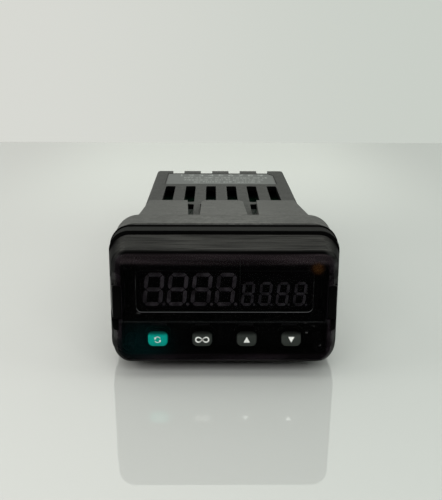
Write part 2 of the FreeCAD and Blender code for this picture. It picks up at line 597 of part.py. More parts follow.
# ---------------------------------------------------------------- front cover
def make_cover():
    """Smoked moulding: drafted skirt, face, key holes, latch channels and screw posts."""
    body = new_body("front_cover")
    outline = new_sketch(body, "cover_outline", FRONT_VIEW, COVER_REAR)
    draw_round_rectangle(outline, COVER_WIDTH, COVER_HEIGHT, "cover_corner")
    skirt = pad(body, "skirt", outline, "cover_depth", towards=-1, taper="-cover_draft")
    bevel_front_edges(body, "face_bevel", skirt, FACE, "cover_edge_bevel")

    outline = new_sketch(body, "cover_cavity_outline", FRONT_VIEW, COVER_REAR)
    draw_round_rectangle(outline, CAVITY_WIDTH, CAVITY_HEIGHT, "cavity_corner")
    pocket(body, "cover_cavity", outline, "cover_depth - cover_front_wall", towards=-1)

    channel_height = "(latch_height + 2*latch_gap)"
    top = f"(latch_rise + {channel_height}/2)"
    bottom = f"(latch_rise - {channel_height}/2)"
    recess_bottom = f"({bottom} - latch_recess_drop)"
    recess_inner = f"({CAVITY_WIDTH}/2 + latch_recess_wall)"
    outer = f"({COVER_WIDTH}/2 + latch_travel)"
    for side, sign in (("left", "-"), ("right", "")):
        inner = f"({CHANNEL_X} - latch_channel_wall)"
        middle = f"{sign}({inner} + {CAVITY_WIDTH}/2 + latch_channel_wall)/2"
        outline = new_sketch(body, f"{side}_channel_wall_outline", FRONT_VIEW, COVER_REAR,
                             (middle, "latch_rise"))
        draw_rectangle(outline, f"{CAVITY_WIDTH}/2 + latch_channel_wall - {inner}",
                       f"{channel_height} + 2*latch_channel_wall")
        pad(body, f"{side}_channel_wall", outline, "cover_depth - cover_front_wall/2",
            towards=-1)
        # The channel runs on below the latch as a shallower finger recess.
        outline = new_sketch(body, f"{side}_channel_outline", FRONT_VIEW, COVER_REAR)
        draw_polygon(outline, [(f"{sign}{x}", z) for x, z in (
            (CHANNEL_X, top), (outer, top), (outer, recess_bottom),
            (recess_inner, recess_bottom), (recess_inner, bottom), (CHANNEL_X, bottom))])
        pocket(body, f"{side}_channel", outline, "cover_depth", towards=-1)

    outline = new_sketch(body, "key_hole_outline", FRONT_VIEW, FACE,
                         ("-1.5*key_pitch", "-key_drop"))
    draw_round_rectangle(outline, "key_width + 2*key_gap", "key_height + 2*key_gap",
                         "key_corner + key_gap")
    hole = pocket(body, "key_hole", outline, "cover_front_wall")
    row_of(body, hole, "X_Axis", "key_pitch", "4")

    outline = new_sketch(body, "groove_outline", FRONT_VIEW, FACE, ("0", "-face_groove_drop"))
    draw_rectangle(outline, f"2*{CHANNEL_X}", "face_groove_width")
    pocket(body, "face_groove", outline, "face_groove_depth")

    for name, sx, sz in CORNERS:
        x, z = f"{sx}{POST_X}", f"{sz}{POST_Z}"
        post = new_sketch(body, f"{name}_post_outline", FRONT_VIEW, PLATE_FRONT, (x, z))
        draw_circle(post, "post_radius")
        pad(body, f"{name}_post", post, f"{PLATE_FRONT} - {INNER_FACE} + cover_front_wall/2",
            towards=-1)
        bore = new_sketch(body, f"{name}_bore_outline", FRONT_VIEW, PLATE_FRONT, (x, z))
        draw_circle(bore, "screw_radius + screw_gap")
        pocket(body, f"{name}_bore", bore, "screw_length - chassis_plate + screw_gap",
               towards=-1)
    keep("front_cover", body)


def make_cover_screws():
    screws = []
    for name, sx, sz in CORNERS:
        x, z = f"{sx}{POST_X}", f"{sz}{POST_Z}"
        head_depth = "(screw_head_radius - screw_radius)"
        shank = faceted_bar(f"{name}_shank", (x, f"{COVER_REAR} - screw_length", z),
                            "screw_radius", "screw_length")
        head = faceted_bar(f"{name}_head", (x, f"{COVER_REAR} - {head_depth}", z),
                           "screw_head_radius", head_depth)
        screws.append(fused(f"{name}_screw", [shank, head]))
    keep("cover_screws", group("cover_screws", screws))


# ---------------------------------------------------------------- side latches
def make_latch(side, sign):
    """Finger tab in the cover's side channel with a hooked arm into the case flange."""
    body = new_body(f"latch_{side}")

    def outline_from_above(name, height, points):
        sketch = new_sketch(body, f"{side}_{name}_outline", TOP_VIEW,
                            f"latch_rise - {height}/2")
        draw_polygon(sketch, [(f"{sign}{x}", y) for x, y in points])
        return sketch

    front = f"({FACE} + latch_face_inset)"
    tab_rear = f"({COVER_REAR} - latch_gap)"
    tab_outer = f"({COVER_WIDTH}/2)"
    front_outer = f"({tab_outer} - (cover_depth - latch_face_inset)*{SLOPE})"
    tab = outline_from_above("tab", "latch_height", [
        (LATCH_INNER, front), (front_outer, front), (tab_outer, tab_rear),
        (LATCH_INNER, tab_rear)])
    pad(body, f"{side}_tab", tab, "latch_height")
    arm_front = f"({tab_rear} - latch_thickness)"
    hook_front = f"({LATCH_ARM_END} - latch_hook_length)"
    arm = outline_from_above("arm", "latch_arm_height", [
        (LATCH_ARM_INNER, arm_front), (LATCH_ARM_OUTER, arm_front),
        (LATCH_ARM_OUTER, LATCH_ARM_END), (LATCH_ARM_INNER, LATCH_ARM_END),
        (LATCH_INNER, hook_front), (LATCH_ARM_INNER, hook_front)])
    pad(body, f"{side}_arm", arm, "latch_arm_height")
    # A groove for the fingernail runs across the outside of the tab, near the face.
    near = f"({front} + nail_groove_inset)"
    bottom = f"({front_outer} + nail_groove_inset*{SLOPE} - nail_groove_depth)"
    groove = outline_from_above("nail_groove", "latch_height", [
        (bottom, near), (f"({tab_outer} + latch_thickness)", near),
        (f"({tab_outer} + latch_thickness)", f"{near} + nail_groove_width"),
        (bottom, f"{near} + nail_groove_width")])
    pocket(body, f"{side}_nail_groove", groove, "latch_height", towards=1)
    keep(f"latch_{side}", body)


# ---------------------------------------------------------------- keys
KEY_PLACES = ("-1.5", "-0.5", "0.5", "1.5")


def make_key(name, place_in_row):
    """Keycap that stands through the cover, with a lip behind it and a stem."""
    body = new_body(name)
    centre = (f"({place_in_row})*key_pitch", "-key_drop")
    outline = new_sketch(body, f"{name}_cap_outline", FRONT_VIEW, f"{FACE} - key_proud", centre)
    draw_round_rectangle(outline, "key_width", "key_height", "key_corner")
    cap = pad(body, f"{name}_cap", outline, "key_proud + cover_front_wall + key_travel")
    bevel_front_edges(body, f"{name}_bevel", cap, f"{FACE} - key_proud", "key_edge_bevel")
    lip_front = f"({INNER_FACE} + display_gap)"
    outline = new_sketch(body, f"{name}_lip_outline", FRONT_VIEW, lip_front, centre)
    draw_rectangle(outline, "key_width + 2*key_lip", "key_height + 2*key_lip")
    pad(body, f"{name}_lip", outline, "key_lip_thickness")
    outline = new_sketch(body, f"{name}_stem_outline", FRONT_VIEW, lip_front, centre)
    draw_rectangle(outline, "plunger_width", "plunger_width")
    pad(body, f"{name}_stem", outline,
        f"{BOARD_FRONT} - {lip_front} - 2*switch_body - key_switch_gap")
    keep(name, body)


def make_key_switches():
    """A small push switch on the display board behind each key."""
    switches = []
    for i, place_in_row in enumerate(KEY_PLACES):
        x = f"({place_in_row})*key_pitch"
        base = block(f"switch_base_{i}",
                     (f"{x} - switch_size/2", f"{BOARD_FRONT} - switch_body",
                      "-key_drop - switch_size/2"),
                     (f"{x} + switch_size/2", BOARD_FRONT, "-key_drop + switch_size/2"))
        plunger = block(f"switch_plunger_{i}",
                        (f"{x} - plunger_width/2", f"{BOARD_FRONT} - 2*switch_body",
                         "-key_drop - plunger_width/2"),
                        (f"{x} + plunger_width/2", f"{BOARD_FRONT} - switch_body/2",
                         "-key_drop + plunger_width/2"))
        switches.append(fused(f"switch_{i}", [base, plunger]))
    keep("key_switches", group("key_switches", switches))


# ---------------------------------------------------------------- displays
SEGMENT_RATIO = 18  # digit height over half a segment's width
DOT_RATIO = 21  # digit height over the point's radius
DOT_OFFSET = 1.1  # from the digit's right edge to the point's centre, over its radius


def segment(start, end, half_width):
    """A bar with pointed ends between two points of the digit's grid."""
    along = (end - start).normalize()
    side = FreeCAD.Vector(-along.y, along.x, 0) * half_width
    tip = along * half_width
    return [start, start + tip + side, end - tip + side,
            end, end - tip - side, start + tip - side]


def digit_outlines(width, height):
    """The outlines of the seven segments and the point, from the digit's lower left."""
    half = height / SEGMENT_RATIO
    gap = half / 3
    w, h, mid = width - 2 * half, height - 2 * half, height / 2 - half
    bars = [((0, h), (w, h)), ((w, mid), (w, h)), ((w, 0), (w, mid)), ((0, 0), (w, 0)),
            ((0, 0), (0, mid)), ((0, mid), (0, h)), ((0, mid), (w, mid))]
    outlines = []
    for (x1, z1), (x2, z2) in bars:
        start, end = FreeCAD.Vector(x1, z1, 0), FreeCAD.Vector(x2, z2, 0)
        trim = (end - start).normalize() * gap
        outlines.append(segment(start + trim, end - trim, half))
    dot = height / DOT_RATIO
    turns = [math.radians(45 * i) for i in range(8)]
    outlines.append([FreeCAD.Vector(w + half + DOT_OFFSET * dot + dot * math.cos(turn),
                                    dot - half + dot * math.sin(turn), 0) for turn in turns])
    slant = math.tan(math.radians(number("digit_slant")))
    return [[(p.x + half + p.y * slant, p.y + half) for p in outline] for outline in outlines]


def make_segments(node, size, left, pitch):
    """Four digits of light segments on a display module's face."""
    width, height = pitch - number(f"{size}_digit_gap"), number(f"{size}_digit_height")
    depth = FreeCAD.Vector(0, number("segment_depth"), 0)
    level = number(DISPLAY_FRONT) - depth.y
    solids = []
    for i in range(int(number("digit_count"))):
        x0, z0 = left + i * pitch, number("digit_base")
        for outline in digit_outlines(width, height):
            corners = [FreeCAD.Vector(x0 + x, level, z0 + z) for x, z in outline]
            wire = Part.makePolygon(corners + corners[:1])
            solids.append(Part.Face(wire).extrude(depth))
    feature = doc.addObject("Part::Feature", node)
    feature.Shape = Part.makeCompound(solids)
    keep(node, feature)


def make_displays():
    """Two display modules with their segments, on the board behind them."""
    low = "-display_bottom"
    make_segments("process_segments", "large", number(LARGE_DIGIT_LEFT),
                  number(LARGE_DIGIT_PITCH))
    make_segments("set_segments", "small", number(SMALL_DIGIT_LEFT),
                  number("small_digit_pitch"))
    keep("process_display", block("process_display", (PROCESS_LEFT, DISPLAY_FRONT, low),
                                  (PROCESS_RIGHT, BOARD_FRONT, DISPLAY_TOP)))
    keep("set_display", block("set_display", (SET_LEFT, DISPLAY_FRONT, low),
                              (SET_RIGHT, BOARD_FRONT, DISPLAY_TOP)))
    keep("display_board", block(
        "display_board", (f"-{DISPLAY_BOARD_X}", BOARD_FRONT, f"-{DISPLAY_BOARD_Z}"),
        (DISPLAY_BOARD_X, BOARD_REAR, DISPLAY_BOARD_Z)))


# ---------------------------------------------------------------- chassis and seal
def make_chassis():
    """Frame that closes the cover, plugs into the case mouth and clips the boards."""
    body = new_body("chassis_frame")
    outline = new_sketch(body, "plate_outline", FRONT_VIEW, PLATE_FRONT)
    draw_round_rectangle(outline, f"{CAVITY_WIDTH} - 2*chassis_gap",
                         f"{CAVITY_HEIGHT} - 2*chassis_gap", "cavity_corner - chassis_gap")
    pad(body, "plate", outline, "chassis_plate")
    # Its sides are cut back around the cover's latch channels.
    for side, sign in (("left", "-"), ("right", "")):
        inner = f"({CHANNEL_X} - latch_channel_wall - chassis_gap)"
        outline = new_sketch(body, f"{side}_relief_outline", FRONT_VIEW, PLATE_FRONT,
                             (f"{sign}({inner} + {CAVITY_WIDTH}/2)/2", "latch_rise"))
        draw_rectangle(outline, f"{CAVITY_WIDTH}/2 - {inner}",
                       "latch_height + 2*latch_gap + 2*latch_channel_wall + 2*chassis_gap")
        pocket(body, f"{side}_relief", outline, "chassis_plate")
    outline = new_sketch(body, "plug_outline", FRONT_VIEW, COVER_REAR)
    draw_bevelled_rectangle(outline, f"2*({TUBE_HALF_WIDTH} - plug_gap)",
                            f"2*({TUBE_HALF_HEIGHT} - plug_gap)", "case_corner/2")
    pad(body, "plug", outline, f"{PLUG_REAR} - {COVER_REAR}")
    outline = new_sketch(body, "plug_opening_outline", FRONT_VIEW, PLATE_FRONT)
    draw_rectangle(outline, f"2*({TUBE_HALF_WIDTH} - plug_gap - plug_wall)",
                   f"2*({TUBE_HALF_HEIGHT} - plug_gap - plug_wall)")
    pocket(body, "plug_opening", outline, f"{PLUG_REAR} - {PLATE_FRONT}")
    # Seal groove around the plug.
    outline = new_sketch(body, "groove_ring_outline", FRONT_VIEW,
                         f"{FLANGE_FRONT} + seal_inset")
    draw_rectangle(outline, f"2*({TUBE_HALF_WIDTH} + plug_wall)",
                   f"2*({TUBE_HALF_HEIGHT} + plug_wall)")
    draw_rectangle(outline, f"2*({TUBE_HALF_WIDTH} - plug_gap - seal_depth)",
                   f"2*({TUBE_HALF_HEIGHT} - plug_gap - seal_depth)")
    pocket(body, "seal_groove", outline, "seal_width")
    # Two webs across the plug hold the boards' front tongues.
    for name, sign in (("left_web", "-"), ("right_web", "")):
        outline = new_sketch(body, f"{name}_outline", FRONT_VIEW, f"{PLUG_REAR} - 2*plug_wall",
                             (f"{sign}tongue_board_width/2", "0"))
        draw_rectangle(outline, "2*clip_thickness",
                       f"2*({TUBE_HALF_HEIGHT} - plug_gap - plug_wall/2)")
        pad(body, name, outline, "2*plug_wall")
        for board, level in (("upper", "upper_board_height"), ("lower", "lower_board_height")):
            notch = new_sketch(body, f"{name}_{board}_notch_outline", FRONT_VIEW,
                               f"{PLUG_REAR} - 3*plug_wall",
                               (f"{sign}(tongue_board_width/2 - clip_thickness + clip_gap/2)",
                                f"{level} + main_board_thickness/2"))
            draw_rectangle(notch, "2*clip_thickness + clip_gap",
                           "main_board_thickness + 2*clip_gap")
            pocket(body, f"{name}_{board}_notch", notch, "4*plug_wall")
    # Countersunk holes for the cover's screws.
    for name, sx, sz in CORNERS:
        hole = new_sketch(body, f"{name}_hole_outline", FRONT_VIEW, PLATE_FRONT,
                          (f"{sx}{POST_X}", f"{sz}{POST_Z}"))
        draw_circle(hole, "screw_head_radius + screw_gap")
        pocket(body, f"{name}_hole", hole, "chassis_plate")
    keep("chassis_frame", body)


def make_seal():
    body = new_body("bezel_seal")
    outline = new_sketch(body, "seal_outline", FRONT_VIEW,
                         f"{FLANGE_FRONT} + seal_inset + seal_gap")
    draw_bevelled_rectangle(outline, f"2*({TUBE_HALF_WIDTH} - seal_gap)",
                            f"2*({TUBE_HALF_HEIGHT} - seal_gap)", "case_corner/2")
    draw_rectangle(outline, f"2*({TUBE_HALF_WIDTH} - plug_gap - seal_depth + seal_gap/2)",
                   f"2*({TUBE_HALF_HEIGHT} - plug_gap - seal_depth + seal_gap/2)")
    pad(body, "seal_ring", outline, "seal_width - 2*seal_gap")
    keep("bezel_seal", body)


# ---------------------------------------------------------------- boards
def make_main_board(node, level):
    half = f"({TUBE_HALF_WIDTH} - board_side_gap)"
    top = f"{level} + main_board_thickness"
    body = block(f"{node}_body", (f"-{half}", "board_start", level),
                 (half, "board_start + board_length", top))
    tongue = block(f"{node}_tongue",
                   ("-tongue_board_width/2 + clip_gap", "tongue_board_front", level),
                   ("tongue_board_width/2 - clip_gap", "board_start + clip_thickness", top))
    keep(node, fused(node, [body, tongue]))


def make_components():
    """The larger components on the two boards, and the link to the display board."""
    floor = "(lower_board_height + main_board_thickness)"
    wall = f"({TUBE_HALF_WIDTH} - board_rail_height)"
    left, front = f"(transformer_margin - {wall})", "transformer_front"
    right = f"({left} + transformer_width)"
    rear = f"({front} + transformer_length)"
    top = f"({floor} + transformer_height)"
    around = block("core_outside", (left, front, floor), (right, rear, top))
    window = block("core_window",
                   (f"{left} + core_limb", f"{front} + core_limb", f"{floor} - core_limb"),
                   (f"{right} - core_limb", f"{rear} - core_limb", f"{top} + core_limb"))
    keep("transformer_core", cut("transformer_core", around, window))
    inset = "(core_limb + winding_gap)"
    keep("transformer_winding", block(
        "transformer_winding",
        (f"{left} + {inset}", f"{front} + {inset}", f"{floor} + winding_gap"),
        (f"{right} - {inset}", f"{rear} - {inset}", f"{top} - winding_gap")))
    relays = []
    for i in range(2):
        x = f"(relay_margin - {wall} + {i}*relay_pitch)"
        relays.append(block(f"relay_{i}", (x, "relay_front", floor),
                            (f"{x} + relay_width", "relay_front + relay_length",
                             f"{floor} + relay_height")))
    keep("output_relays", group("output_relays", relays))
    cans = []
    for i in range(2):
        can = doc.addObject("Part::Cylinder", f"capacitor_{i}")
        can.setExpression("Radius", expr("capacitor_radius"))
        can.setExpression("Height", expr("capacitor_height"))
        place(can, ("capacitor_x", f"capacitor_front + {i}*capacitor_pitch", floor))
        cans.append(can)
    keep("smoothing_capacitors", group("smoothing_capacitors", cans))
    ceiling = "(upper_board_height + main_board_thickness)"
    chips = []
    for i in range(2):
        y = f"(chip_front + {i}*chip_pitch)"
        chips.append(block(f"chip_{i}", ("-chip_size/2", y, ceiling),
                           ("chip_size/2", f"{y} + chip_size", f"{ceiling} + chip_height")))
    keep("control_chips", group("control_chips", chips))
    keep("board_link", block("board_link", ("-link_width/2", BOARD_REAR, floor),
                             ("link_width/2", "tongue_board_front", "upper_board_height")))


# ---------------------------------------------------------------- rear terminals
TERMINAL_ROWS = (("upper", "(terminal_split/2 + terminal_height/2)", "upper_board_height"),
                 ("lower", "(-terminal_split/2 - terminal_height/2)", "lower_board_height"))


def terminal_positions():
    """Every terminal as its name, its x and the middle height of its row."""
    for row_name, middle, _ in TERMINAL_ROWS:
        for i in range(int(number("terminal_count"))):
            yield f"{row_name}_{i}", f"({i}*terminal_pitch - {TERMINAL_SPAN}/2)", middle


def make_terminal_block(row_name, middle, board_level):
    """A strip with wire entries and screw wells behind, and sockets for the board's pins."""
    body_front = f"({LIP_FRONT} - terminal_body_depth)"
    low = f"({middle} - terminal_height/2)"
    high = f"({middle} + terminal_height/2)"
    half_body = f"({TUBE_HALF_WIDTH} - terminal_side_gap)"
    half_nose = f"({TUBE_HALF_WIDTH} - rear_lip_width - terminal_side_gap)"
    strip = fused(f"{row_name}_strip", [
        block(f"{row_name}_body", (f"-{half_body}", body_front, low),
              (half_body, LIP_FRONT, high)),
        block(f"{row_name}_nose", (f"-{half_nose}", f"{LIP_FRONT} - terminal_end", low),
              (half_nose, NOSE_REAR, high))])
    hollows = []
    pin_low = f"({board_level} + main_board_thickness - pin_gap)"
    for name, x, level in terminal_positions():
        if not name.startswith(row_name):
            continue
        wire = f"({level} - wire_entry_drop)"
        hollows.append(block(
            f"{name}_entry",
            (f"{x} - wire_entry_width/2", f"{NOSE_REAR} - wire_entry_depth",
             f"{wire} - wire_entry_height/2"),
            (f"{x} + wire_entry_width/2", f"{NOSE_REAR} + terminal_end",
             f"{wire} + wire_entry_height/2")))
        well = "(terminal_screw_length + terminal_screw_inset)"
        half_well = "(terminal_screw_radius + terminal_gap)"
        screw = f"({level} + terminal_screw_rise)"
        hollows.append(block(
            f"{name}_well",
            (f"{x} - {half_well}", f"{NOSE_REAR} - {well}", f"{screw} - {half_well}"),
            (f"{x} + {half_well}", f"{NOSE_REAR} + terminal_end", f"{screw} + {half_well}")))
        hollows.append(block(
            f"{name}_socket",
            (f"{x} - pin_size/2 - pin_gap", f"{body_front} - terminal_end", pin_low),
            (f"{x} + pin_size/2 + pin_gap", f"{body_front} + pin_reach + 2*pin_gap",
             f"{pin_low} + pin_size + 2*pin_gap")))
    node = f"terminal_block_{row_name}"
    keep(node, cut(node, strip, group(f"{row_name}_hollows", hollows)))


def make_terminal_fittings():
    """Slotted screws and cage clamps, one of each in every terminal."""
    screws, clamps = [], []
    for name, x, level in terminal_positions():
        rear = f"({NOSE_REAR} - terminal_screw_inset)"
        z = f"({level} + terminal_screw_rise)"
        shank = faceted_bar(f"{name}_screw_body", (x, f"{rear} - terminal_screw_length", z),
                            "terminal_screw_radius", "terminal_screw_length")
        slot = block(f"{name}_screw_slot",
                     (f"{x} - screw_slot_width/2", f"{rear} - screw_slot_depth",
                      f"{z} - 2*terminal_screw_radius"),
                     (f"{x} + screw_slot_width/2", f"{rear} + screw_slot_depth",
                      f"{z} + 2*terminal_screw_radius"))
        screws.append(cut(f"{name}_screw", shank, slot))
        half_x = "(wire_entry_width/2 - terminal_gap)"
        half_z = "(wire_entry_height/2 - terminal_gap)"
        z = f"({level} - wire_entry_drop)"
        rear = f"({NOSE_REAR} - clamp_inset)"
        front = f"({rear} - clamp_length)"
        cage = block(f"{name}_cage", (f"{x} - {half_x}", front, f"{z} - {half_z}"),
                     (f"{x} + {half_x}", rear, f"{z} + {half_z}"))
        bore = block(f"{name}_cage_bore",
                     (f"{x} - {half_x} + clamp_wall", f"{front} - clamp_wall",
                      f"{z} - {half_z} + clamp_wall"),
                     (f"{x} + {half_x} - clamp_wall", f"{rear} + clamp_wall",
                      f"{z} + {half_z} - clamp_wall"))
        clamps.append(cut(f"{name}_clamp", cage, bore))
    keep("terminal_screws", group("terminal_screws", screws))
    keep("terminal_clamps", group("terminal_clamps", clamps))


def make_pins():
    """Contact pins that stand out of both boards' rear edges."""
    pins = []
    levels = {row_name: level for row_name, _, level in TERMINAL_ROWS}
    rear = f"({LIP_FRONT} - terminal_body_depth + pin_reach)"
    for name, x, _ in terminal_positions():
        z = f"({levels[name.split('_')[0]]} + main_board_thickness)"
        pins.append(block(f"{name}_pin", (f"{x} - pin_size/2", f"{BOARD_END} - pin_overlap", z),
                          (f"{x} + pin_size/2", rear, f"{z} + pin_size")))
    keep("board_pins", group("board_pins", pins))


def main():
    make_case()
    make_gasket()
    make_label()
    make_collar()
    make_cover()
    make_cover_screws()
    make_latch("left", "-")
    make_latch("right", "")
    for name, spot in zip(("key_advance", "key_infinity", "key_up", "key_down"), KEY_PLACES):
        make_key(name, spot)
    make_key_switches()
    make_displays()
    make_chassis()
    make_seal()
    make_main_board("upper_board", "upper_board_height")
    make_main_board("lower_board", "lower_board_height")
    make_components()
    for row_name, middle, board_level in TERMINAL_ROWS:
        make_terminal_block(row_name, middle, board_level)
    make_terminal_fittings()
    make_pins()
    doc.recompute()
    broken = [o.Name for o in doc.Objects if {"Invalid", "Error"} & set(o.State)]
    if broken:
        raise RuntimeError(f"features failed: {broken}")
    for node, piece in nodes.items():
        if piece.Shape.isNull() or not piece.Shape.isValid():
            raise RuntimeError(f"{node} has no valid shape")
    for node, piece in nodes.items():
        piece.Shape.exportStep(f"parts/{node}.step")
        box = piece.Shape.BoundBox
        print(f"{node:22s} {len(piece.Shape.Solids):3d} solids  {piece.Shape.Volume:9.1f} mm3  "
              f"x {box.XMin:.2f} {box.XMax:.2f}  y {box.YMin:.2f} {box.YMax:.2f}  "
              f"z {box.ZMin:.2f} {box.ZMax:.2f}")


main()
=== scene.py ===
"""Looks of the panel temperature controller: smoked cover, rubber keys, print, light.

Everything is in metres in the model's own frame: +X right, +Y rearwards, +Z up.
"""
import math
import random

import bmesh
import bpy
from mathutils import Matrix, Vector


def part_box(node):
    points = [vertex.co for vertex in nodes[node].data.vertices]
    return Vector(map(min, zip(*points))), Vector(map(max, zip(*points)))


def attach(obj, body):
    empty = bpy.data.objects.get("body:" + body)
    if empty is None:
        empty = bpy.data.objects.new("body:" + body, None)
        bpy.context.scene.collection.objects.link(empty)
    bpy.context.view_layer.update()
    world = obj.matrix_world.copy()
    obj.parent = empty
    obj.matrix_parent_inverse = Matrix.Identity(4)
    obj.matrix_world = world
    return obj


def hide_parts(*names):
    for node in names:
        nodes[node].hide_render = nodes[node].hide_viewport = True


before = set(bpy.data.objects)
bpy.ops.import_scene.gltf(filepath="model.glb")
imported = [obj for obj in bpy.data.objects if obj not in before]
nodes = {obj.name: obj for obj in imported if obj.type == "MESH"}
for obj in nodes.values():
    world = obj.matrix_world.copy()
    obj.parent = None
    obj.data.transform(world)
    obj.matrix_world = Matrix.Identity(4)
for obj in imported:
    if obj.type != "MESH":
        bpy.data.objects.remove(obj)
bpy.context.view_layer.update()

MM = 0.001


def centre_of(node):
    """The middle of a solid's box."""
    low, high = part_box(node)
    return (low + high) / 2


# ---------------------------------------------------------------- sizes
COVER_LOW, COVER_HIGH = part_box("front_cover")
FACE = COVER_LOW.y
COVER_REAR = COVER_HIGH.y
COVER_CORNER = 5.0 * MM
LOWER_CORNER_RISE = 0.8 * MM
COVER_DRAFT = math.tan(math.radians(10))
COVER_WALL = 1.3 * MM
EDGE_ROUND, EDGE_STEPS = 2.0 * MM, 10
CAVITY = (23.1 * MM, 11.5 * MM, 2.2 * MM)  # half width, half height, corner
CHANNEL_INNER, CHANNEL_GAP, CHANNEL_FLARE = 22.8 * MM, 0.15 * MM, 0.6 * MM
RECESS_INNER, RECESS_DROP = 23.6 * MM, 2.6 * MM
WINDOW = (-19.6 * MM, 19.6 * MM, -0.95 * MM, 8.6 * MM)  # left, right, bottom, top
WINDOW_CORNER, WINDOW_DEPTH = 1.3 * MM, 0.12 * MM
STEP_DROP = 3.25 * MM
GROOVE_HALF, GROOVE_DEPTH = 0.12 * MM, 0.1 * MM
CUTTER_RUN = 1.0 * MM  # how far a cutter runs on past the skin
CASE_HALF_HEIGHT = 11.0 * MM
VENT_HALF_SPAN, VENT_REAR = 20.8, 70.0  # in millimetres, for the finish
KEYS = ("key_advance", "key_infinity", "key_up", "key_down")
KEY_SIZE = (2.2 * MM, 1.75 * MM, 1.2 * MM)  # half width, half height, corner
KEY_DOME, KEY_ROLL, KEY_PLAY = 0.12 * MM, 0.5 * MM, 0.12 * MM
KEY_FLAT = 0.2  # share of the cap that stays level before the dome falls away
KEY_LIP = (0.6 * MM, 0.7 * MM)  # reach beyond the cap, thickness
KEY_STEM_HALF = 0.9 * MM
SCREW_COUNT, SCREW_PITCH = 8, 4.7 * MM
POST_REAR_GAP, POST_SET_IN = 1.45 * MM, 1.1 * MM
INK = 0.02 * MM  # half a print's thickness


# ---------------------------------------------------------------- node trees
class Wire:
    """A socket's value, so that shader maths reads as arithmetic."""

    def __init__(self, builder, socket):
        self.builder, self.socket = builder, socket

    def maths(self, operation, *values):
        return self.builder.node("ShaderNodeMath", {"operation": operation},
                                 dict(enumerate(values)))

    def __add__(self, other):
        return self.maths("ADD", self, other)

    def __sub__(self, other):
        return self.maths("SUBTRACT", self, other)

    def __rsub__(self, other):
        return self.maths("SUBTRACT", other, self)

    def __mul__(self, other):
        return self.maths("MULTIPLY", self, other)

    __radd__ = __add__
    __rmul__ = __mul__

    def highest(self, other):
        return self.maths("MAXIMUM", self, other)

    def size(self):
        return self.maths("ABSOLUTE", self)

    def sine(self):
        return self.maths("SINE", self)

    def fraction(self):
        return self.maths("FRACT", self)

    def length_with(self, other):
        """The length of a step this far one way and that far the other."""
        return self.maths("SQRT", self * self + other * other)

    def rise(self, start, end):
        """0 at start, 1 at end, with a smooth step between; start may be the larger."""
        return self.builder.node("ShaderNodeMapRange", {"interpolation_type": "SMOOTHSTEP"},
                                 {"Value": self, "From Min": start, "From Max": end})


class Builder:
    """A node tree under construction."""

    def __init__(self, tree):
        self.tree = tree
        tree.nodes.clear()

    def node(self, kind, settings=None, inputs=None, out=0):
        """Add a node with its settings, and the values or links of its sockets."""
        made = self.tree.nodes.new(kind)
        for name, value in (settings or {}).items():
            setattr(made, name, value)
        for name, value in (inputs or {}).items():
            if isinstance(value, Wire):
                self.tree.links.new(value.socket, made.inputs[name])
            else:
                made.inputs[name].default_value = value
        if not len(made.outputs):
            return made
        return Wire(self, made.outputs[out])

    def mix(self, factor, first, second):
        """A colour between two colours, each a wire or a plain triple."""
        ends = [c if isinstance(c, Wire) else (*c, 1.0) for c in (first, second)]
        return self.node("ShaderNodeMix", {"data_type": "RGBA"},
                         {0: factor, 6: ends[0], 7: ends[1]}, out=2)


class Finish(Builder):
    """A material under construction."""

    SOCKETS = {"colour": "Base Color", "rough": "Roughness", "metal": "Metallic",
               "coat": "Coat Weight", "coat_rough": "Coat Roughness", "alpha": "Alpha",
               "normal": "Normal", "specular": "Specular IOR Level", "ior": "IOR"}

    def __init__(self, name):
        self.material = bpy.data.materials.new(name)
        self.material.use_nodes = True
        super().__init__(self.material.node_tree)
        self.place = self.node("ShaderNodeTexCoord", out="Object")

    def axes(self):
        """The place on the piece as three numbers, in millimetres."""
        split = self.tree.nodes.new("ShaderNodeSeparateXYZ")
        self.tree.links.new(self.place.socket, split.inputs[0])
        return [Wire(self, output) * 1000 for output in split.outputs]

    def stretched(self, x=1.0, y=1.0, z=1.0):
        return self.node("ShaderNodeMapping", inputs={"Vector": self.place,
                                                      "Scale": (x, y, z)})

    def noise(self, scale, detail=2.0, where=None, roughness=0.5):
        return self.node("ShaderNodeTexNoise", inputs={
            "Vector": where or self.place, "Scale": scale, "Detail": detail,
            "Roughness": roughness})

    def bump(self, height, distance):
        return self.node("ShaderNodeBump", inputs={"Height": height, "Distance": distance})

    def surface(self, **inputs):
        """Join a shader's plain values and wires to the output."""
        values = {self.SOCKETS[key]: (*value, 1.0) if isinstance(value, tuple) else value
                  for key, value in inputs.items()}
        shaded = self.node("ShaderNodeBsdfPrincipled", inputs=values)
        self.node("ShaderNodeOutputMaterial", inputs={"Surface": shaded})
        return self.material


# ---------------------------------------------------------------- finishes
# Places in a finish are in millimetres, colours are linear.
JET = (0.0006, 0.0006, 0.0006)


def toned(colour, share):
    """A colour made darker or lighter."""
    return tuple(share * channel for channel in colour)


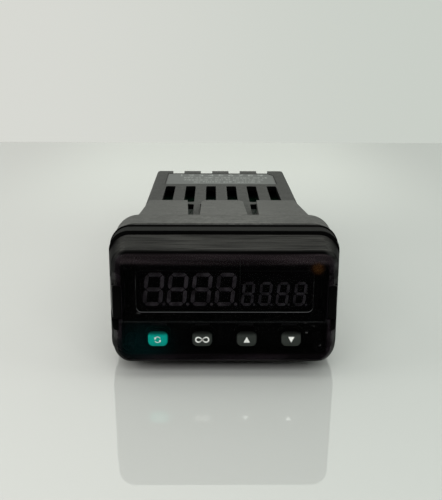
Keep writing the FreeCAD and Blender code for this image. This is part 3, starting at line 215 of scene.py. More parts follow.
def moulded_case(name, shade):
    """Spark-eroded black moulding that greys in the light, with faint rubs along it; painted
    shade darkens its outer sides, its front flange, the case's mouth and the insides of its
    vents.
    """
    m = Finish(name)
    x, y, z = m.axes()
    grain = m.noise(7000, 4.0)
    mottle = m.noise(1100, 4.0, None, 0.7)
    broad = m.noise(140, 3.0)
    streaks = m.noise(700, 4.0, m.stretched(0.35, 1.0, 1.0), 0.65)
    rubs = m.noise(1200, 5.0, m.stretched(0.12, 1.0, 1.0), 0.7).rise(0.54, 0.74)
    colour = m.mix(broad, toned(shade, 0.88), toned(shade, 1.12))
    colour = m.mix(streaks.rise(0.3, 0.7) * 0.6, colour, toned(shade, 1.7))
    colour = m.mix(mottle.rise(0.35, 0.65) * 0.55, colour, toned(shade, 0.5))
    colour = m.mix(rubs * 0.5, colour, toned(shade, 2.1))
    # Painted shade: the colour darkens towards the outer sides, where less light falls.
    side_shade = x.size().rise(6, 17)
    colour = m.mix(side_shade * 0.3, colour, toned(shade, 0.55))
    # Painted shade: the front flange, sitting in the narrow gap between cover and collar, is
    # darkened and made rougher.
    flange = y.rise(0.1, -0.7)
    colour = m.mix(flange, colour, toned(shade, 0.27))
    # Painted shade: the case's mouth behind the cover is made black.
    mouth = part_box("case_shell")[0].y / MM
    colour = m.mix(y.rise(mouth + 0.6, mouth + 0.2), colour, JET)
    # Painted shade: the walls and insides of the vents are made black.
    skin = CASE_HALF_HEIGHT / MM
    vents = (z.size().rise(skin - 0.07, skin - 0.15)
             * x.size().rise(VENT_HALF_SPAN + 0.2, VENT_HALF_SPAN - 0.2)
             * y.rise(VENT_REAR + 0.5, VENT_REAR - 0.5))
    colour = m.mix(vents, colour, JET)
    return m.surface(colour=colour, rough=0.55 + broad * 0.1 + flange * 0.3,
                     normal=m.bump(grain + mottle, 0.00004), specular=0.15)


def gasket_rubber():
    """Dull black rubber with a little dust, its black deepened as painted shade of the gaps
    where it sits.
    """
    m = Finish("gasket_rubber")
    dust = m.noise(2500, 3.0).rise(0.6, 0.85)
    return m.surface(colour=m.mix(dust * 0.25, (0.0015, 0.0015, 0.0015), (0.01, 0.01, 0.009)),
                     rough=0.8, normal=m.bump(m.noise(6000), 0.00003), specular=0.02)


def smoked_moulding():
    """Polished smoked plastic at the face, finely brushed grey on top of the skirt."""
    m = Finish("smoked_moulding")
    x, y, z = m.axes()
    behind = y - FACE / MM
    wall = COVER_WALL / MM
    face = behind.rise(0.5, 0.25)

    # Painted reflection: a purple-grey band along the top; a painted teal glow beside the
    # green key; a warm spot; dust.
    reflection_bars = m.noise(800, 0.0, m.stretched(0.05, 1.0, 1.0)).rise(0.25, 0.6)
    top_reflection = z.rise(9.6, 11.6) * (1 - z.rise(12.0, 12.8)) * (reflection_bars * 0.75 + 0.25)
    colour = m.mix(top_reflection * face, JET, (0.050, 0.039, 0.043))
    # Painted light: a teal glow from the green key onto the face around it.
    green_glow = ((x + 18.0) * 0.75).length_with(z + 8.6).rise(6.8, 1.0)
    colour = m.mix(green_glow * face, colour, (0.0005, 0.0070, 0.0075))
    warm = (x - 20.4).length_with(z - 9.2).rise(1.9, 0.3)
    colour = m.mix(warm * face, colour, (0.030, 0.012, 0.003))
    specks = m.noise(1300, 0.0).rise(0.80, 0.84) * x.size().rise(14.0, 19.0)
    colour = m.mix(specks * face, colour, (0.05, 0.05, 0.05))

    # Painted highlight: a purple-grey sheen on the lip where the flat face starts to roll
    # over, at the sides and below.
    patchy = m.noise(330, 2.0, m.stretched(0.3, 0.3, 1.0)).rise(0.36, 0.6) * 0.7 + 0.3
    turn_x, turn_z = 22.5, -10.6
    lip = x.size().rise(turn_x, turn_x + 0.7).highest(z.rise(turn_z, turn_z - 0.8))
    lip = lip * behind.rise(-0.1, 0.06) * (1 - behind.rise(0.35, 0.8))
    colour = m.mix(lip * patchy, colour, (0.012, 0.009, 0.0115))
    rim = behind.rise(0.1, 0.4) * (1 - behind.rise(0.9, 1.4))
    shine = rim * patchy * (x.size().rise(turn_x - 0.9, turn_x + 0.7) * 0.6
                            + z.rise(turn_z - 1.4, turn_z - 2.4) * 0.12)

    # Painted highlights where edges would catch light: the step's groove and the inner side
    # of each channel.
    groove = (z + STEP_DROP / MM).size().rise(0.22, 0.1)
    colour = m.mix(groove * face, colour, (0.013, 0.014, 0.014))
    low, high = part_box("latch_left")
    middle, half = (low.z + high.z) / 2 / MM, (high.z - low.z) / 2 / MM
    channel = ((x.size() - (CHANNEL_INNER / MM + 0.1)).size().rise(0.25, 0.1)
               * (z - middle).size().rise(half + 0.4, half + 0.1))
    colour = m.mix(channel * face, colour, (0.014, 0.012, 0.015))

    # The skirt's brushed top. The wall's inner skin is clear, so only the face dims.
    brushed = m.noise(2600, 5.0, m.stretched(0.03, 1.0, 1.0), 0.7).rise(0.3, 0.7)
    grey = m.mix(brushed, (0.009, 0.009, 0.0085), (0.040, 0.040, 0.037))
    skirt = behind.rise(0.7, 1.3) * z.rise(11.0, 13.3) * x.size().rise(25.5, 22.5)
    half_x, half_z = CAVITY[0] / MM, CAVITY[1] / MM
    inside = (behind.rise(wall + 0.1, wall + 0.03) * behind.rise(wall - 0.1, wall - 0.02)
              * x.size().rise(half_x + 0.1, half_x - 0.1)
              * z.size().rise(half_z + 0.1, half_z - 0.1))
    return m.surface(colour=m.mix(skirt, colour, grey), rough=0.5 + brushed * 0.04,
                     coat=shine * (1 - skirt), coat_rough=0.08, specular=0.02,
                     alpha=1 - face * 0.42 - inside, normal=m.bump(brushed * skirt, 0.00003))


def window_edge():
    """The moulded edge of the window, with painted highlights: bright along the sill, and in
    patches here and there that fade out towards the top.
    """
    m = Finish("window_edge")
    z = m.axes()[2]
    sill, head = WINDOW[2] / MM, WINDOW[3] / MM
    # Painted highlight along the sill, and painted highlight patches that fade out below the
    # head.
    low = z.rise(sill + 1.15, sill + 0.15)
    patchy = m.noise(900, 2.0).rise(0.56, 0.68) * z.rise(head - 0.4, head - 2.1)
    return m.surface(colour=m.mix(low * 0.8 + patchy * 0.4, JET, (0.07, 0.071, 0.073)),
                     rough=0.5, specular=0.05)


def latch_plastic():
    """Black plastic, rubbed a little by fingers."""
    m = Finish("latch_plastic")
    wear = m.noise(1500, 3.0).rise(0.62, 0.8)
    return m.surface(colour=m.mix(wear * 0.2, (0.001, 0.001, 0.001), (0.03, 0.03, 0.03)),
                     rough=0.3 + wear * 0.2, specular=0.03)


def key_rubber(name, base, shade):
    """Moulded silicone, with painted shade along its upper edge where the cover overhangs it.
    """
    m = Finish(name)
    _, y, z = m.axes()
    grain = m.noise(5000, 3.0)
    colour = m.mix(m.noise(700, 2.0), base, shade)
    # Painted shade: the cap darkens towards its upper edge, under the cover's overhang.
    top = (centre_of(KEYS[0]).z + KEY_SIZE[1]) / MM
    colour = m.mix(z.rise(top - 1.05, top - 0.15) * 0.9, colour, toned(base, 0.06))
    # Painted shade: the part of the key behind the face's inner skin is made almost black.
    lip = (y - (FACE + COVER_WALL) / MM).rise(-0.25, 0.1)
    colour = m.mix(lip, colour, toned(base, 0.03))
    return m.surface(colour=colour, rough=0.45 + grain * 0.15, specular=0.06,
                     normal=m.bump(grain, 0.00002))


def white_print():
    """Worn white ink of the keys' signs."""
    m = Finish("white_print")
    worn = m.noise(2500, 3.0).rise(0.35, 0.75)
    return m.surface(colour=m.mix(worn, (0.62, 0.63, 0.60), (0.78, 0.79, 0.76)),
                     rough=0.5 + worn * 0.1)


def label_film():
    """Grey film with a thin dark rule close to its edge."""
    m = Finish("label_film")
    x, y, _ = m.axes()
    side, rear = (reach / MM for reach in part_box("rating_label")[1][:2])
    cloud = m.noise(300, 3.0)
    edge = x.size().rise(side - 0.32, side - 0.2)
    edge = 1 - (1 - edge) * (1 - y.rise(rear - 0.35, rear - 0.2))
    colour = m.mix(cloud, (0.047, 0.052, 0.049), (0.061, 0.067, 0.063))
    return m.surface(colour=m.mix(edge, colour, (0.008, 0.008, 0.008)),
                     rough=0.36 + cloud * 0.1, specular=0.5)


def label_print():
    """Thin pale ink that has broken up."""
    m = Finish("label_print")
    cloud = m.noise(2200, 4.0)
    return m.surface(colour=m.mix(cloud.rise(0.3, 0.7), (0.08, 0.09, 0.08),
                                  (0.34, 0.36, 0.34)), rough=0.5)


def display_body():
    """Dark face of a light-segment module."""
    m = Finish("display_body")
    cloud = m.noise(400, 2.0)
    return m.surface(colour=m.mix(cloud, (0.0006, 0.0005, 0.0007), (0.0014, 0.0012, 0.0017)),
                     rough=0.7, specular=0.04)


def display_segment(name, base):
    """Unlit diffuser, a dull purple grey once seen through the smoked face."""
    m = Finish(name)
    cloud = m.noise(420, 2.0)
    return m.surface(colour=m.mix(cloud.rise(0.35, 0.65), toned(base, 0.4),
                                  toned(base, 1.2)), rough=0.6, specular=0.1)


def board_laminate(name, mask, copper):
    """Solder mask over routed tracks."""
    m = Finish(name)
    routes = (m.noise(130, 0.0, m.stretched(1.0, 0.12, 1.0)) * 14).fraction()
    tracks = routes.rise(0.35, 0.5) * (1 - routes.rise(0.6, 0.75))
    return m.surface(colour=m.mix(tracks * 0.5, mask, copper), rough=0.4 + tracks * 0.1,
                     normal=m.bump(tracks, 0.00003), specular=0.06)


def moulded_black(name, dark, light, scale, specular=0.5):
    """Plain dark plastic of the parts inside and of the terminals."""
    m = Finish(name)
    cloud = m.noise(scale, 3.0)
    return m.surface(colour=m.mix(cloud, dark, light), rough=0.43 + cloud * 0.14,
                     normal=m.bump(cloud, 0.00002), specular=specular)


def plated_steel():
    """Bright plated steel, brushed along its length."""
    m = Finish("plated_steel")
    brushed = m.noise(3000, 3.0, m.stretched(1.0, 0.1, 1.0))
    return m.surface(colour=m.mix(brushed, (0.52, 0.51, 0.48), (0.68, 0.67, 0.64)),
                     metal=1.0, rough=0.28 + brushed * 0.15)


def blackened_steel():
    """Dark screws, rubbed bright in places."""
    m = Finish("blackened_steel")
    worn = m.noise(1800, 3.0).rise(0.5, 0.8)
    return m.surface(colour=m.mix(worn, (0.012, 0.012, 0.013), (0.045, 0.045, 0.045)),
                     metal=0.8, rough=0.4 + worn * 0.1)


def pin_brass():
    """Brass of the boards' pins."""
    m = Finish("pin_brass")
    cloud = m.noise(2000, 2.0)
    return m.surface(colour=m.mix(cloud, (0.70, 0.52, 0.24), (0.78, 0.62, 0.32)),
                     metal=1.0, rough=0.3 + cloud * 0.1)


def copper_winding():
    """Enamelled wire in even turns."""
    m = Finish("copper_winding")
    turns = (m.axes()[2] * 20).sine()
    return m.surface(colour=m.mix(turns * 0.5 + 0.5, (0.30, 0.10, 0.03), (0.58, 0.24, 0.08)),
                     metal=0.8, rough=0.35 + turns * 0.05, normal=m.bump(turns, 0.00005))


def laminated_core():
    """Stacked iron sheets."""
    m = Finish("laminated_core")
    sheets = (m.axes()[2] * 12.5).sine()
    rust = m.noise(600, 4.0).rise(0.58, 0.8)
    colour = m.mix(sheets * 0.5 + 0.5, (0.06, 0.06, 0.062), (0.17, 0.17, 0.175))
    return m.surface(colour=m.mix(rust * 0.4, colour, (0.11, 0.06, 0.04)),
                     metal=0.7, rough=0.45 + rust * 0.2, normal=m.bump(sheets, 0.00004))


def can_aluminium():
    """Drawn aluminium of the capacitors' cans."""
    m = Finish("can_aluminium")
    brushed = m.noise(1500, 2.0, m.stretched(1.0, 1.0, 0.1))
    return m.surface(colour=m.mix(brushed, (0.62, 0.63, 0.65), (0.74, 0.75, 0.77)),
                     metal=1.0, rough=0.3 + brushed * 0.1)


# ---------------------------------------------------------------- mesh helpers
SMOOTH_ANGLE = 30  # degrees; a sharper fold than this stays a crease


def new_piece(name, points, faces, material, smooth_angle=SMOOTH_ANGLE):
    """A piece from points and faces, with its place in its mesh."""
    mesh = bpy.data.meshes.new(name)
    mesh.from_pydata([tuple(p) for p in points], [], faces)
    return finish_piece(name, mesh, material, smooth_angle)


def finish_piece(name, mesh, material, smooth_angle=SMOOTH_ANGLE):
    mesh.name = name
    mesh.materials.clear()
    mesh.materials.append(material)
    piece = bpy.data.objects.new(name, mesh)
    bpy.context.scene.collection.objects.link(piece)
    smooth(piece, smooth_angle)
    return piece


def smooth(piece, angle):
    piece.data.shade_smooth()
    piece.data.set_sharp_from_angle(angle=math.radians(angle))


def fit(piece, body, slot, *replaced):
    """Carry a piece on its body and hide the solids it stands for; its slot is not used."""
    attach(piece, body)
    if replaced:
        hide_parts(*replaced)


def round_rectangle(half_x, half_z, corner, centre=(0.0, 0.0), steps=8, lower_rise=0.0):
    """Outline points, anticlockwise seen from the front; lower corners may be taller."""
    points = []
    for quarter, (sx, sz) in enumerate(((1, 1), (-1, 1), (-1, -1), (1, -1))):
        tall = corner + (lower_rise if sz < 0 else 0.0)
        for i in range(steps + 1):
            turn = math.radians(90 * quarter + 90 * i / steps)
            points.append((centre[0] + sx * (half_x - corner) + corner * math.cos(turn),
                           centre[1] + sz * (half_z - tall) + tall * math.sin(turn)))
    return points


def window_outline():
    """The window's rounded outline, about its own middle."""
    left, right, bottom, top = WINDOW
    return round_rectangle((right - left) / 2, (top - bottom) / 2, WINDOW_CORNER,
                           ((left + right) / 2, (bottom + top) / 2))


def quarter_turn(steps):
    """Angles from nothing to a right angle, for a rolled edge."""
    return [math.radians(90 * i / steps) for i in range(steps + 1)]


def loft(rings):
    """Points and faces of a closed skin through rings of equal count, rear ring first."""
    count = len(rings[0])
    points = [p for ring in rings for p in ring]
    faces = [tuple(range(count)), tuple(reversed(range(len(points) - count, len(points))))]
    for r in range(len(rings) - 1):
        for i in range(count):
            j = (i + 1) % count
            faces.append((r * count + i, (r + 1) * count + i, (r + 1) * count + j,
                          r * count + j))
    return points, faces


def ring_at(outline, y):
    return [(x, y, z) for x, z in outline]


def prism(outline, front, rear):
    """A closed prism between two levels of the axis."""
    return loft([ring_at(outline, rear), ring_at(outline, front)])


def box_outline(left, right, bottom, top):
    return [(right, bottom), (right, top), (left, top), (left, bottom)]


def joined(shapes):
    """Several point and face lists as one."""
    points, faces = [], []
    for some_points, some_faces in shapes:
        start = len(points)
        points += list(some_points)
        faces += [tuple(start + i for i in face) for face in some_faces]
    return points, faces


def apply_modifiers(piece):
    """Keep what the modifiers make as the piece's own mesh."""
    shape = bpy.data.meshes.new_from_object(
        piece.evaluated_get(bpy.context.evaluated_depsgraph_get()))
    piece.modifiers.clear()
    piece.data = shape


def carve(piece, shapes):
    """Cut closed shapes out of a piece."""
    for points, faces in shapes:
        mesh = bpy.data.meshes.new("cutter")
        mesh.from_pydata([tuple(p) for p in points], [], faces)
        upright(mesh)
        cutter = bpy.data.objects.new("cutter", mesh)
        bpy.context.scene.collection.objects.link(cutter)
        boolean = piece.modifiers.new("cut", "BOOLEAN")
        boolean.object = cutter
        boolean.solver = "EXACT"
        apply_modifiers(piece)
        bpy.data.objects.remove(cutter)


def upright(mesh):
    """Turn a closed mesh's faces outwards."""
    shape = bmesh.new()
    shape.from_mesh(mesh)
    bmesh.ops.recalc_face_normals(shape, faces=shape.faces)
    shape.to_mesh(mesh)
    shape.free()


# ---------------------------------------------------------------- repeated pieces
class Recipe(Builder):
    """A Geometry Nodes tree under construction, its sizes as named inputs."""

    def __init__(self, name, sizes, material):
        super().__init__(bpy.data.node_groups.new(name, "GeometryNodeTree"))
        self.material = material
        self.sizes = sizes
        face = self.tree.interface
        face.new_socket("Places", in_out="INPUT", socket_type="NodeSocketGeometry")
        for label, size in sizes.items():
            kind = "NodeSocketInt" if isinstance(size, int) else "NodeSocketFloat"
            face.new_socket(label, in_out="INPUT", socket_type=kind)
        face.new_socket("Pieces", in_out="OUTPUT", socket_type="NodeSocketGeometry")
        self.entry = self.tree.nodes.new("NodeGroupInput")

    def given(self, label):
        return Wire(self, self.entry.outputs[label])

    def bar(self, radius, length, middle, sides=24):
        """A round bar along Y with its middle at this level."""
        made = self.node("GeometryNodeMeshCylinder", inputs={
            "Vertices": sides, "Radius": radius, "Depth": length}, out="Mesh")
        spot = self.node("ShaderNodeCombineXYZ", inputs={"Y": middle})
        return self.node("GeometryNodeTransform", inputs={
            "Geometry": made, "Translation": spot, "Rotation": (math.pi / 2, 0.0, 0.0)})

    def combined(self, operation, first, second):
        """Two shapes united, or the second cut out of the first."""
        made = self.tree.nodes.new("GeometryNodeMeshBoolean")
        made.operation = operation
        made.solver = "EXACT"
        if operation == "DIFFERENCE":
            self.tree.links.new(first.socket, made.inputs["Mesh 1"])
            self.tree.links.new(second.socket, made.inputs["Mesh 2"])
        else:
            for shape in (first, second):
                self.tree.links.new(shape.socket, made.inputs["Mesh 2"])
        return Wire(self, made.outputs["Mesh"])

    def set_out(self, shape, rotation=(0.0, 0.0, 0.0), scale=(1.0, 1.0, 1.0)):
        """One copy of the shape at each given place."""
        return self.node("GeometryNodeInstanceOnPoints", inputs={
            "Points": self.given("Places"), "Instance": shape, "Rotation": rotation,
            "Scale": scale})

    def finish(self, pieces):
        """Make the copies real and give them their material."""
        real = self.node("GeometryNodeRealizeInstances", inputs={"Geometry": pieces})
        dressed = self.node("GeometryNodeSetMaterial", inputs={
            "Geometry": real, "Material": self.material})
        self.node("NodeGroupOutput", inputs={"Pieces": dressed})

    def make(self, name, points, edges=(), numbers=None):
        """Run the tree over these places and keep the result as a plain mesh."""
        mesh = bpy.data.meshes.new(name)
        mesh.from_pydata([tuple(p) for p in points], list(edges), [])
        for label, values in (numbers or {}).items():
            mesh.attributes.new(label, "FLOAT", "POINT").data.foreach_set("value", values)
        piece = bpy.data.objects.new(name, mesh)
        bpy.context.scene.collection.objects.link(piece)
        modifier = piece.modifiers.new("recipe", "NODES")
        modifier.node_group = self.tree
        for item in self.tree.interface.items_tree:
            if item.item_type == "SOCKET" and item.name in self.sizes:
                modifier[item.identifier] = self.sizes[item.name]
        apply_modifiers(piece)
        piece.data.name = name
        smooth(piece, SMOOTH_ANGLE)
        return piece


def make_terminal_screws(material):
    """Sixteen slotted clamp screws, each turned as the last hand left it."""
    low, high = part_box("terminal_screws")
    radius = (high.x - low.x - (SCREW_COUNT - 1) * SCREW_PITCH) / 2
    recipe = Recipe("slotted_screw", {
        "Radius": radius, "Length": high.y - low.y, "Slot Width": 0.5 * MM,
        "Slot Depth": 0.6 * MM, "Edge": 0.18 * MM, "Seed": 5}, material)
    radius, length, edge = (recipe.given(n) for n in ("Radius", "Length", "Edge"))
    shank = recipe.bar(radius, length - edge, (length + edge) * -0.5)
    crown = recipe.bar(radius - edge, edge * 2, edge * -1)
    slot_size = recipe.node("ShaderNodeCombineXYZ", inputs={
        "X": recipe.given("Slot Width"), "Y": recipe.given("Slot Depth") * 2,
        "Z": radius * 3})
    slot = recipe.node("GeometryNodeMeshCube", inputs={"Size": slot_size}, out="Mesh")
    screw = recipe.combined("DIFFERENCE", recipe.combined("UNION", shank, crown), slot)
    turn = recipe.node("FunctionNodeRandomValue", {"data_type": "FLOAT"}, {
        "Min": -0.9, "Max": 0.9, "Seed": recipe.given("Seed")}, out=1)
    turned = recipe.node("ShaderNodeCombineXYZ", inputs={"Y": turn})
    recipe.finish(recipe.set_out(screw, turned))
    size = recipe.sizes["Radius"]
    spots = [(low.x + size + i * SCREW_PITCH, high.y, z)
             for z in (low.z + size, high.z - size) for i in range(SCREW_COUNT)]
    screws = recipe.make("terminal_screw_set", spots)
    fit(screws, "case", "steel", "terminal_screws")


def make_screw_posts(material):
    """Hollow posts behind the face's corners, seen through it as rings."""
    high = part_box("cover_screws")[1]
    front, rear = FACE + COVER_WALL, COVER_REAR - POST_REAR_GAP
    recipe = Recipe("hollow_post", {"Radius": 1.3 * MM, "Bore": 0.66 * MM,
                                    "Length": rear - front}, material)
    length = recipe.given("Length")
    post = recipe.combined("DIFFERENCE",
                           recipe.bar(recipe.given("Radius"), length, length * 0.5),
                           recipe.bar(recipe.given("Bore"), length * 2, length * 0.5))
    recipe.finish(recipe.set_out(post))
    x, z = high.x - POST_SET_IN, high.z - POST_SET_IN
    spots = [(sx * x, front, sz * z) for sx in (-1, 1) for sz in (-1, 1)]
    fit(recipe.make("cover_posts", spots), "controller", "smoked_plastic")


def make_window_edge(material):
    """The fine moulded rim of the window, run along its outline."""
    recipe = Recipe("edge_bead", {"Width": 0.13 * MM, "Height": 0.1 * MM}, material)
    path = recipe.node("GeometryNodeMeshToCurve", inputs={"Mesh": recipe.given("Places")})
    section = recipe.node("GeometryNodeCurvePrimitiveQuadrilateral", inputs={
        "Width": recipe.given("Width"), "Height": recipe.given("Height")})
    bead = recipe.node("GeometryNodeCurveToMesh", inputs={"Curve": path,
                                                          "Profile Curve": section})
    recipe.finish(bead)
    spots = ring_at(window_outline(), FACE + WINDOW_DEPTH / 2)
    edges = [(i, (i + 1) % len(spots)) for i in range(len(spots))]
    bead = recipe.make("window_bead", spots, edges)
    upright(bead.data)
    fit(bead, "controller", "smoked_plastic")


# ---------------------------------------------------------------- front cover
def cover_outline(y, extra=0.0):
    """The skirt's outline at a level, drawn in by its draft and by the rolled edge."""
    inset = (COVER_REAR - y) * COVER_DRAFT + extra
    return round_rectangle(COVER_HIGH.x - inset, COVER_HIGH.z - inset,
                           COVER_CORNER - inset, steps=12, lower_rise=LOWER_CORNER_RISE)


def make_cover(material):
    """The drafted skirt with a rolled front edge, carved as the moulding is."""
    rings = [ring_at(cover_outline(COVER_REAR), COVER_REAR)]
    for turn in quarter_turn(EDGE_STEPS):
        y = FACE + EDGE_ROUND * (1 - math.sin(turn))
        rings.append(ring_at(cover_outline(y, EDGE_ROUND * (1 - math.cos(turn))), y))
    cover = new_piece("smoked_cover", *loft(rings), material)
    half_x, half_z, corner = CAVITY
    before, beyond = FACE - CUTTER_RUN, COVER_REAR + CUTTER_RUN
    tools = [prism(round_rectangle(half_x, half_z, corner), FACE + COVER_WALL, beyond)]
    for side, latch in ((-1, "latch_left"), (1, "latch_right")):
        low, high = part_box(latch)
        top, bottom = high.z + CHANNEL_GAP, low.z - CHANNEL_GAP
        outer = COVER_HIGH.x + CUTTER_RUN
        edge = COVER_HIGH.x - (COVER_REAR - FACE) * COVER_DRAFT - CHANNEL_FLARE
        outline = [(CHANNEL_INNER, top), (edge, top), (outer, top + outer - edge),
                   (outer, bottom - RECESS_DROP), (RECESS_INNER, bottom - RECESS_DROP),
                   (RECESS_INNER, bottom), (CHANNEL_INNER, bottom)]
        tools.append(prism([(side * x, z) for x, z in outline], before, beyond))
    for key in KEYS:
        at = centre_of(key)
        half_x, half_z, corner = (size + KEY_PLAY for size in KEY_SIZE)
        outline = round_rectangle(half_x, half_z, corner, (at.x, at.z), 6)
        tools.append(prism(outline, before, FACE + COVER_WALL + CUTTER_RUN))
    tools.append(prism(window_outline(), before, FACE + WINDOW_DEPTH))
    groove = box_outline(-CHANNEL_INNER, CHANNEL_INNER, -STEP_DROP - GROOVE_HALF,
                         -STEP_DROP + GROOVE_HALF)
    tools.append(prism(groove, before, FACE + GROOVE_DEPTH))
    carve(cover, tools)
    smooth(cover, 28)
    fit(cover, "controller", "smoked_plastic", "front_cover")


def make_latch(node, body, material):
    """The latch's solid with its edges eased, as moulding leaves them."""
    shape = bmesh.new()
    shape.from_mesh(nodes[node].data)
    bmesh.ops.remove_doubles(shape, verts=shape.verts, dist=0.002 * MM)
    bmesh.ops.dissolve_limit(shape, angle_limit=math.radians(1), verts=shape.verts,
                             edges=shape.edges)
    mesh = bpy.data.meshes.new(node)
    shape.to_mesh(mesh)
    shape.free()
    latch = finish_piece(node + "_tab", mesh, material)
    bevel = latch.modifiers.new("eased", "BEVEL")
    bevel.width = 0.14 * MM
    bevel.segments = 2
    bevel.limit_method = "ANGLE"
    bevel.angle_limit = math.radians(30)
    apply_modifiers(latch)
    smooth(latch, 40)
    fit(latch, body, "black_plastic", node)


# ---------------------------------------------------------------- keys
def key_level(at, front, x, z):
    """The level of a key's gently domed face at a point."""
    across, up = (x - at.x) / KEY_SIZE[0], (z - at.z) / KEY_SIZE[1]
    return front + KEY_DOME * min(1.0, max(0.0, across * across + up * up - KEY_FLAT))


def make_key(node, material, glyph, print_material, slot_name):
    """A rubber keycap with a rolled edge and a faint dome, and its printed sign."""
    low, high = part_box(node)
    at = centre_of(node)
    middle = (at.x, at.z)
    front = low.y + 1.5 * INK
    half_x, half_z, corner = KEY_SIZE
    lip_front = FACE + COVER_WALL + 0.2 * MM
    lip_reach, lip_thickness = KEY_LIP
    lip_rear = lip_front + lip_thickness
    cap_rear = lip_front + 0.05 * MM
    rings = [ring_at(round_rectangle(half_x, half_z, corner, middle), cap_rear)]
    for turn in quarter_turn(6):
        inset = KEY_ROLL * (1 - math.cos(turn))
        rings.append(ring_at(
            round_rectangle(half_x - inset, half_z - inset, corner - inset, middle),
            front + KEY_DOME + KEY_ROLL * (1 - math.sin(turn))))
    for share in (0.85, 0.7, 0.55, 0.4, 0.2):
        sizes = ((size - KEY_ROLL) * share for size in KEY_SIZE)
        rings.append([(x, key_level(at, front, x, z), z)
                      for x, z in round_rectangle(*sizes, middle)])
    lip = prism(round_rectangle(half_x + lip_reach, half_z + lip_reach, corner, middle),
                lip_front, lip_rear)
    stem = prism(box_outline(at.x - KEY_STEM_HALF, at.x + KEY_STEM_HALF,
                             at.z - KEY_STEM_HALF, at.z + KEY_STEM_HALF), lip_rear, high.y)
    cap = new_piece(node + "_cap", *joined([loft(rings), lip, stem]), material, 40)
    fit(cap, node + "_body", slot_name, node)
    plates = [glyph_plate(outline, at, front) for outline in glyph]
    sign = new_piece(node + "_sign", *joined(plates), print_material)
    fit(sign, node + "_body", slot_name)


def glyph_plate(outline, at, front):
    """A thin print on the key's face; the outline is from the key's centre."""
    rings = []
    for lift in (-INK, INK):
        rings.append([(at.x + x, key_level(at, front, at.x + x, at.z + z) - lift, at.z + z)
                      for x, z in outline])
    return loft(rings)


def ribbon(line, width):
    """Short quads that follow a line, one outline for each step."""
    outlines = []
    for (x1, z1), (x2, z2) in zip(line, line[1:]):
        along = Vector((x2 - x1, z2 - z1)).normalized() * width / 2
        side = Vector((-along.y, along.x))
        a, b = Vector((x1, z1)) - along * 0.2, Vector((x2, z2)) + along * 0.2
        outlines.append([tuple(a - side), tuple(b - side), tuple(b + side), tuple(a + side)])
    return outlines


def advance_sign():
    """Two arcs chasing each other, each with an arrowhead."""
    radius, stroke, outlines = 0.66 * MM, 0.17 * MM, []
    sweep, steps = 115, 14
    for start in (30, 210):
        turns = [math.radians(start + sweep * i / steps) for i in range(steps + 1)]
        outlines += ribbon([(radius * math.cos(t), radius * math.sin(t)) for t in turns],
                           stroke)
        root, tip = math.radians(start + sweep - 7), math.radians(start + sweep + 37)
        outlines.append([(reach * radius * math.cos(t), reach * radius * math.sin(t))
                         for reach, t in ((1.4, root), (1.0, tip), (0.6, root))][::-1])
    return outlines


def infinity_sign():
    """A lying figure of eight, drawn as a lemniscate a little fuller than the true one."""
    reach, fullness, stroke, steps = 1.45 * MM, 1.11, 0.27 * MM, 48
    line = []
    for i in range(steps + 1):
        turn = 2 * math.pi * i / steps
        spread = 1 + math.sin(turn) ** 2
        line.append((reach * math.cos(turn) / spread,
                     fullness * reach * math.sin(turn) * math.cos(turn) / spread))
    return ribbon(line, stroke)


def arrow_sign(direction):
    """A solid triangle, cut into bands so that it follows the key's face."""
    half, height, bands = 0.7 * MM, 1.35 * MM, 6
    outlines = []
    for i in range(bands):
        low, high = i / bands, (i + 1) / bands
        narrow = max(1 - high, 0.02)
        outline = [(-half * (1 - low), low), (half * (1 - low), low),
                   (half * narrow, high), (-half * narrow, high)]
        outline = [(x, direction * height * (z - 0.5)) for x, z in outline]
        outlines.append(outline if direction > 0 else outline[::-1])
    return outlines


# ---------------------------------------------------------------- label print
DASH_ROWS = ((5.6, 33.0), (5.6, 31.5), (9.0, 30.0))  # first and last place in each row
FIRST_ROW, ROW_PITCH = 7.4, 3.6  # in millimetres, from the label's rear edge
NUMERAL_COUNT, NUMERAL_SIZE, NUMERAL_PITCH = 9, 4.2 * MM, 3.35 * MM
NUMERAL_START, NUMERAL_LINE = 4.6 * MM, 4.3 * MM  # from the left and the rear edge


def make_label_dashes(material):
    """Three lines of plain dashes, of uneven length as words would be."""
    recipe = Recipe("printed_dash", {"Depth": 1.25 * MM, "Ink": 2 * INK}, material)
    length = recipe.node("GeometryNodeInputNamedAttribute", {"data_type": "FLOAT"},
                         {"Name": "dash"})
    size = recipe.node("ShaderNodeCombineXYZ", inputs={
        "X": length, "Y": recipe.given("Depth"), "Z": recipe.given("Ink")})
    unit = recipe.node("GeometryNodeMeshCube", inputs={"Size": (1.0, 1.0, 1.0)}, out="Mesh")
    recipe.finish(recipe.set_out(unit, scale=size))
    low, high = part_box("rating_label")
    rng = random.Random(11)
    spots, lengths = [], []
    for row, (start, end) in enumerate(DASH_ROWS):
        y = high.y - (FIRST_ROW + ROW_PITCH * row) * MM
        x = low.x + start * MM
        while x < low.x + end * MM:
            length = rng.uniform(0.35, 1.5) * MM
            spots.append((x + length / 2, y + rng.uniform(-0.2, 0.2) * MM, high.z))
            lengths.append(length)
            x += length + rng.choice((0.3, 0.3, 0.9)) * MM
    fit(recipe.make("label_dashes", spots, numbers={"dash": lengths}), "case", "label_film")


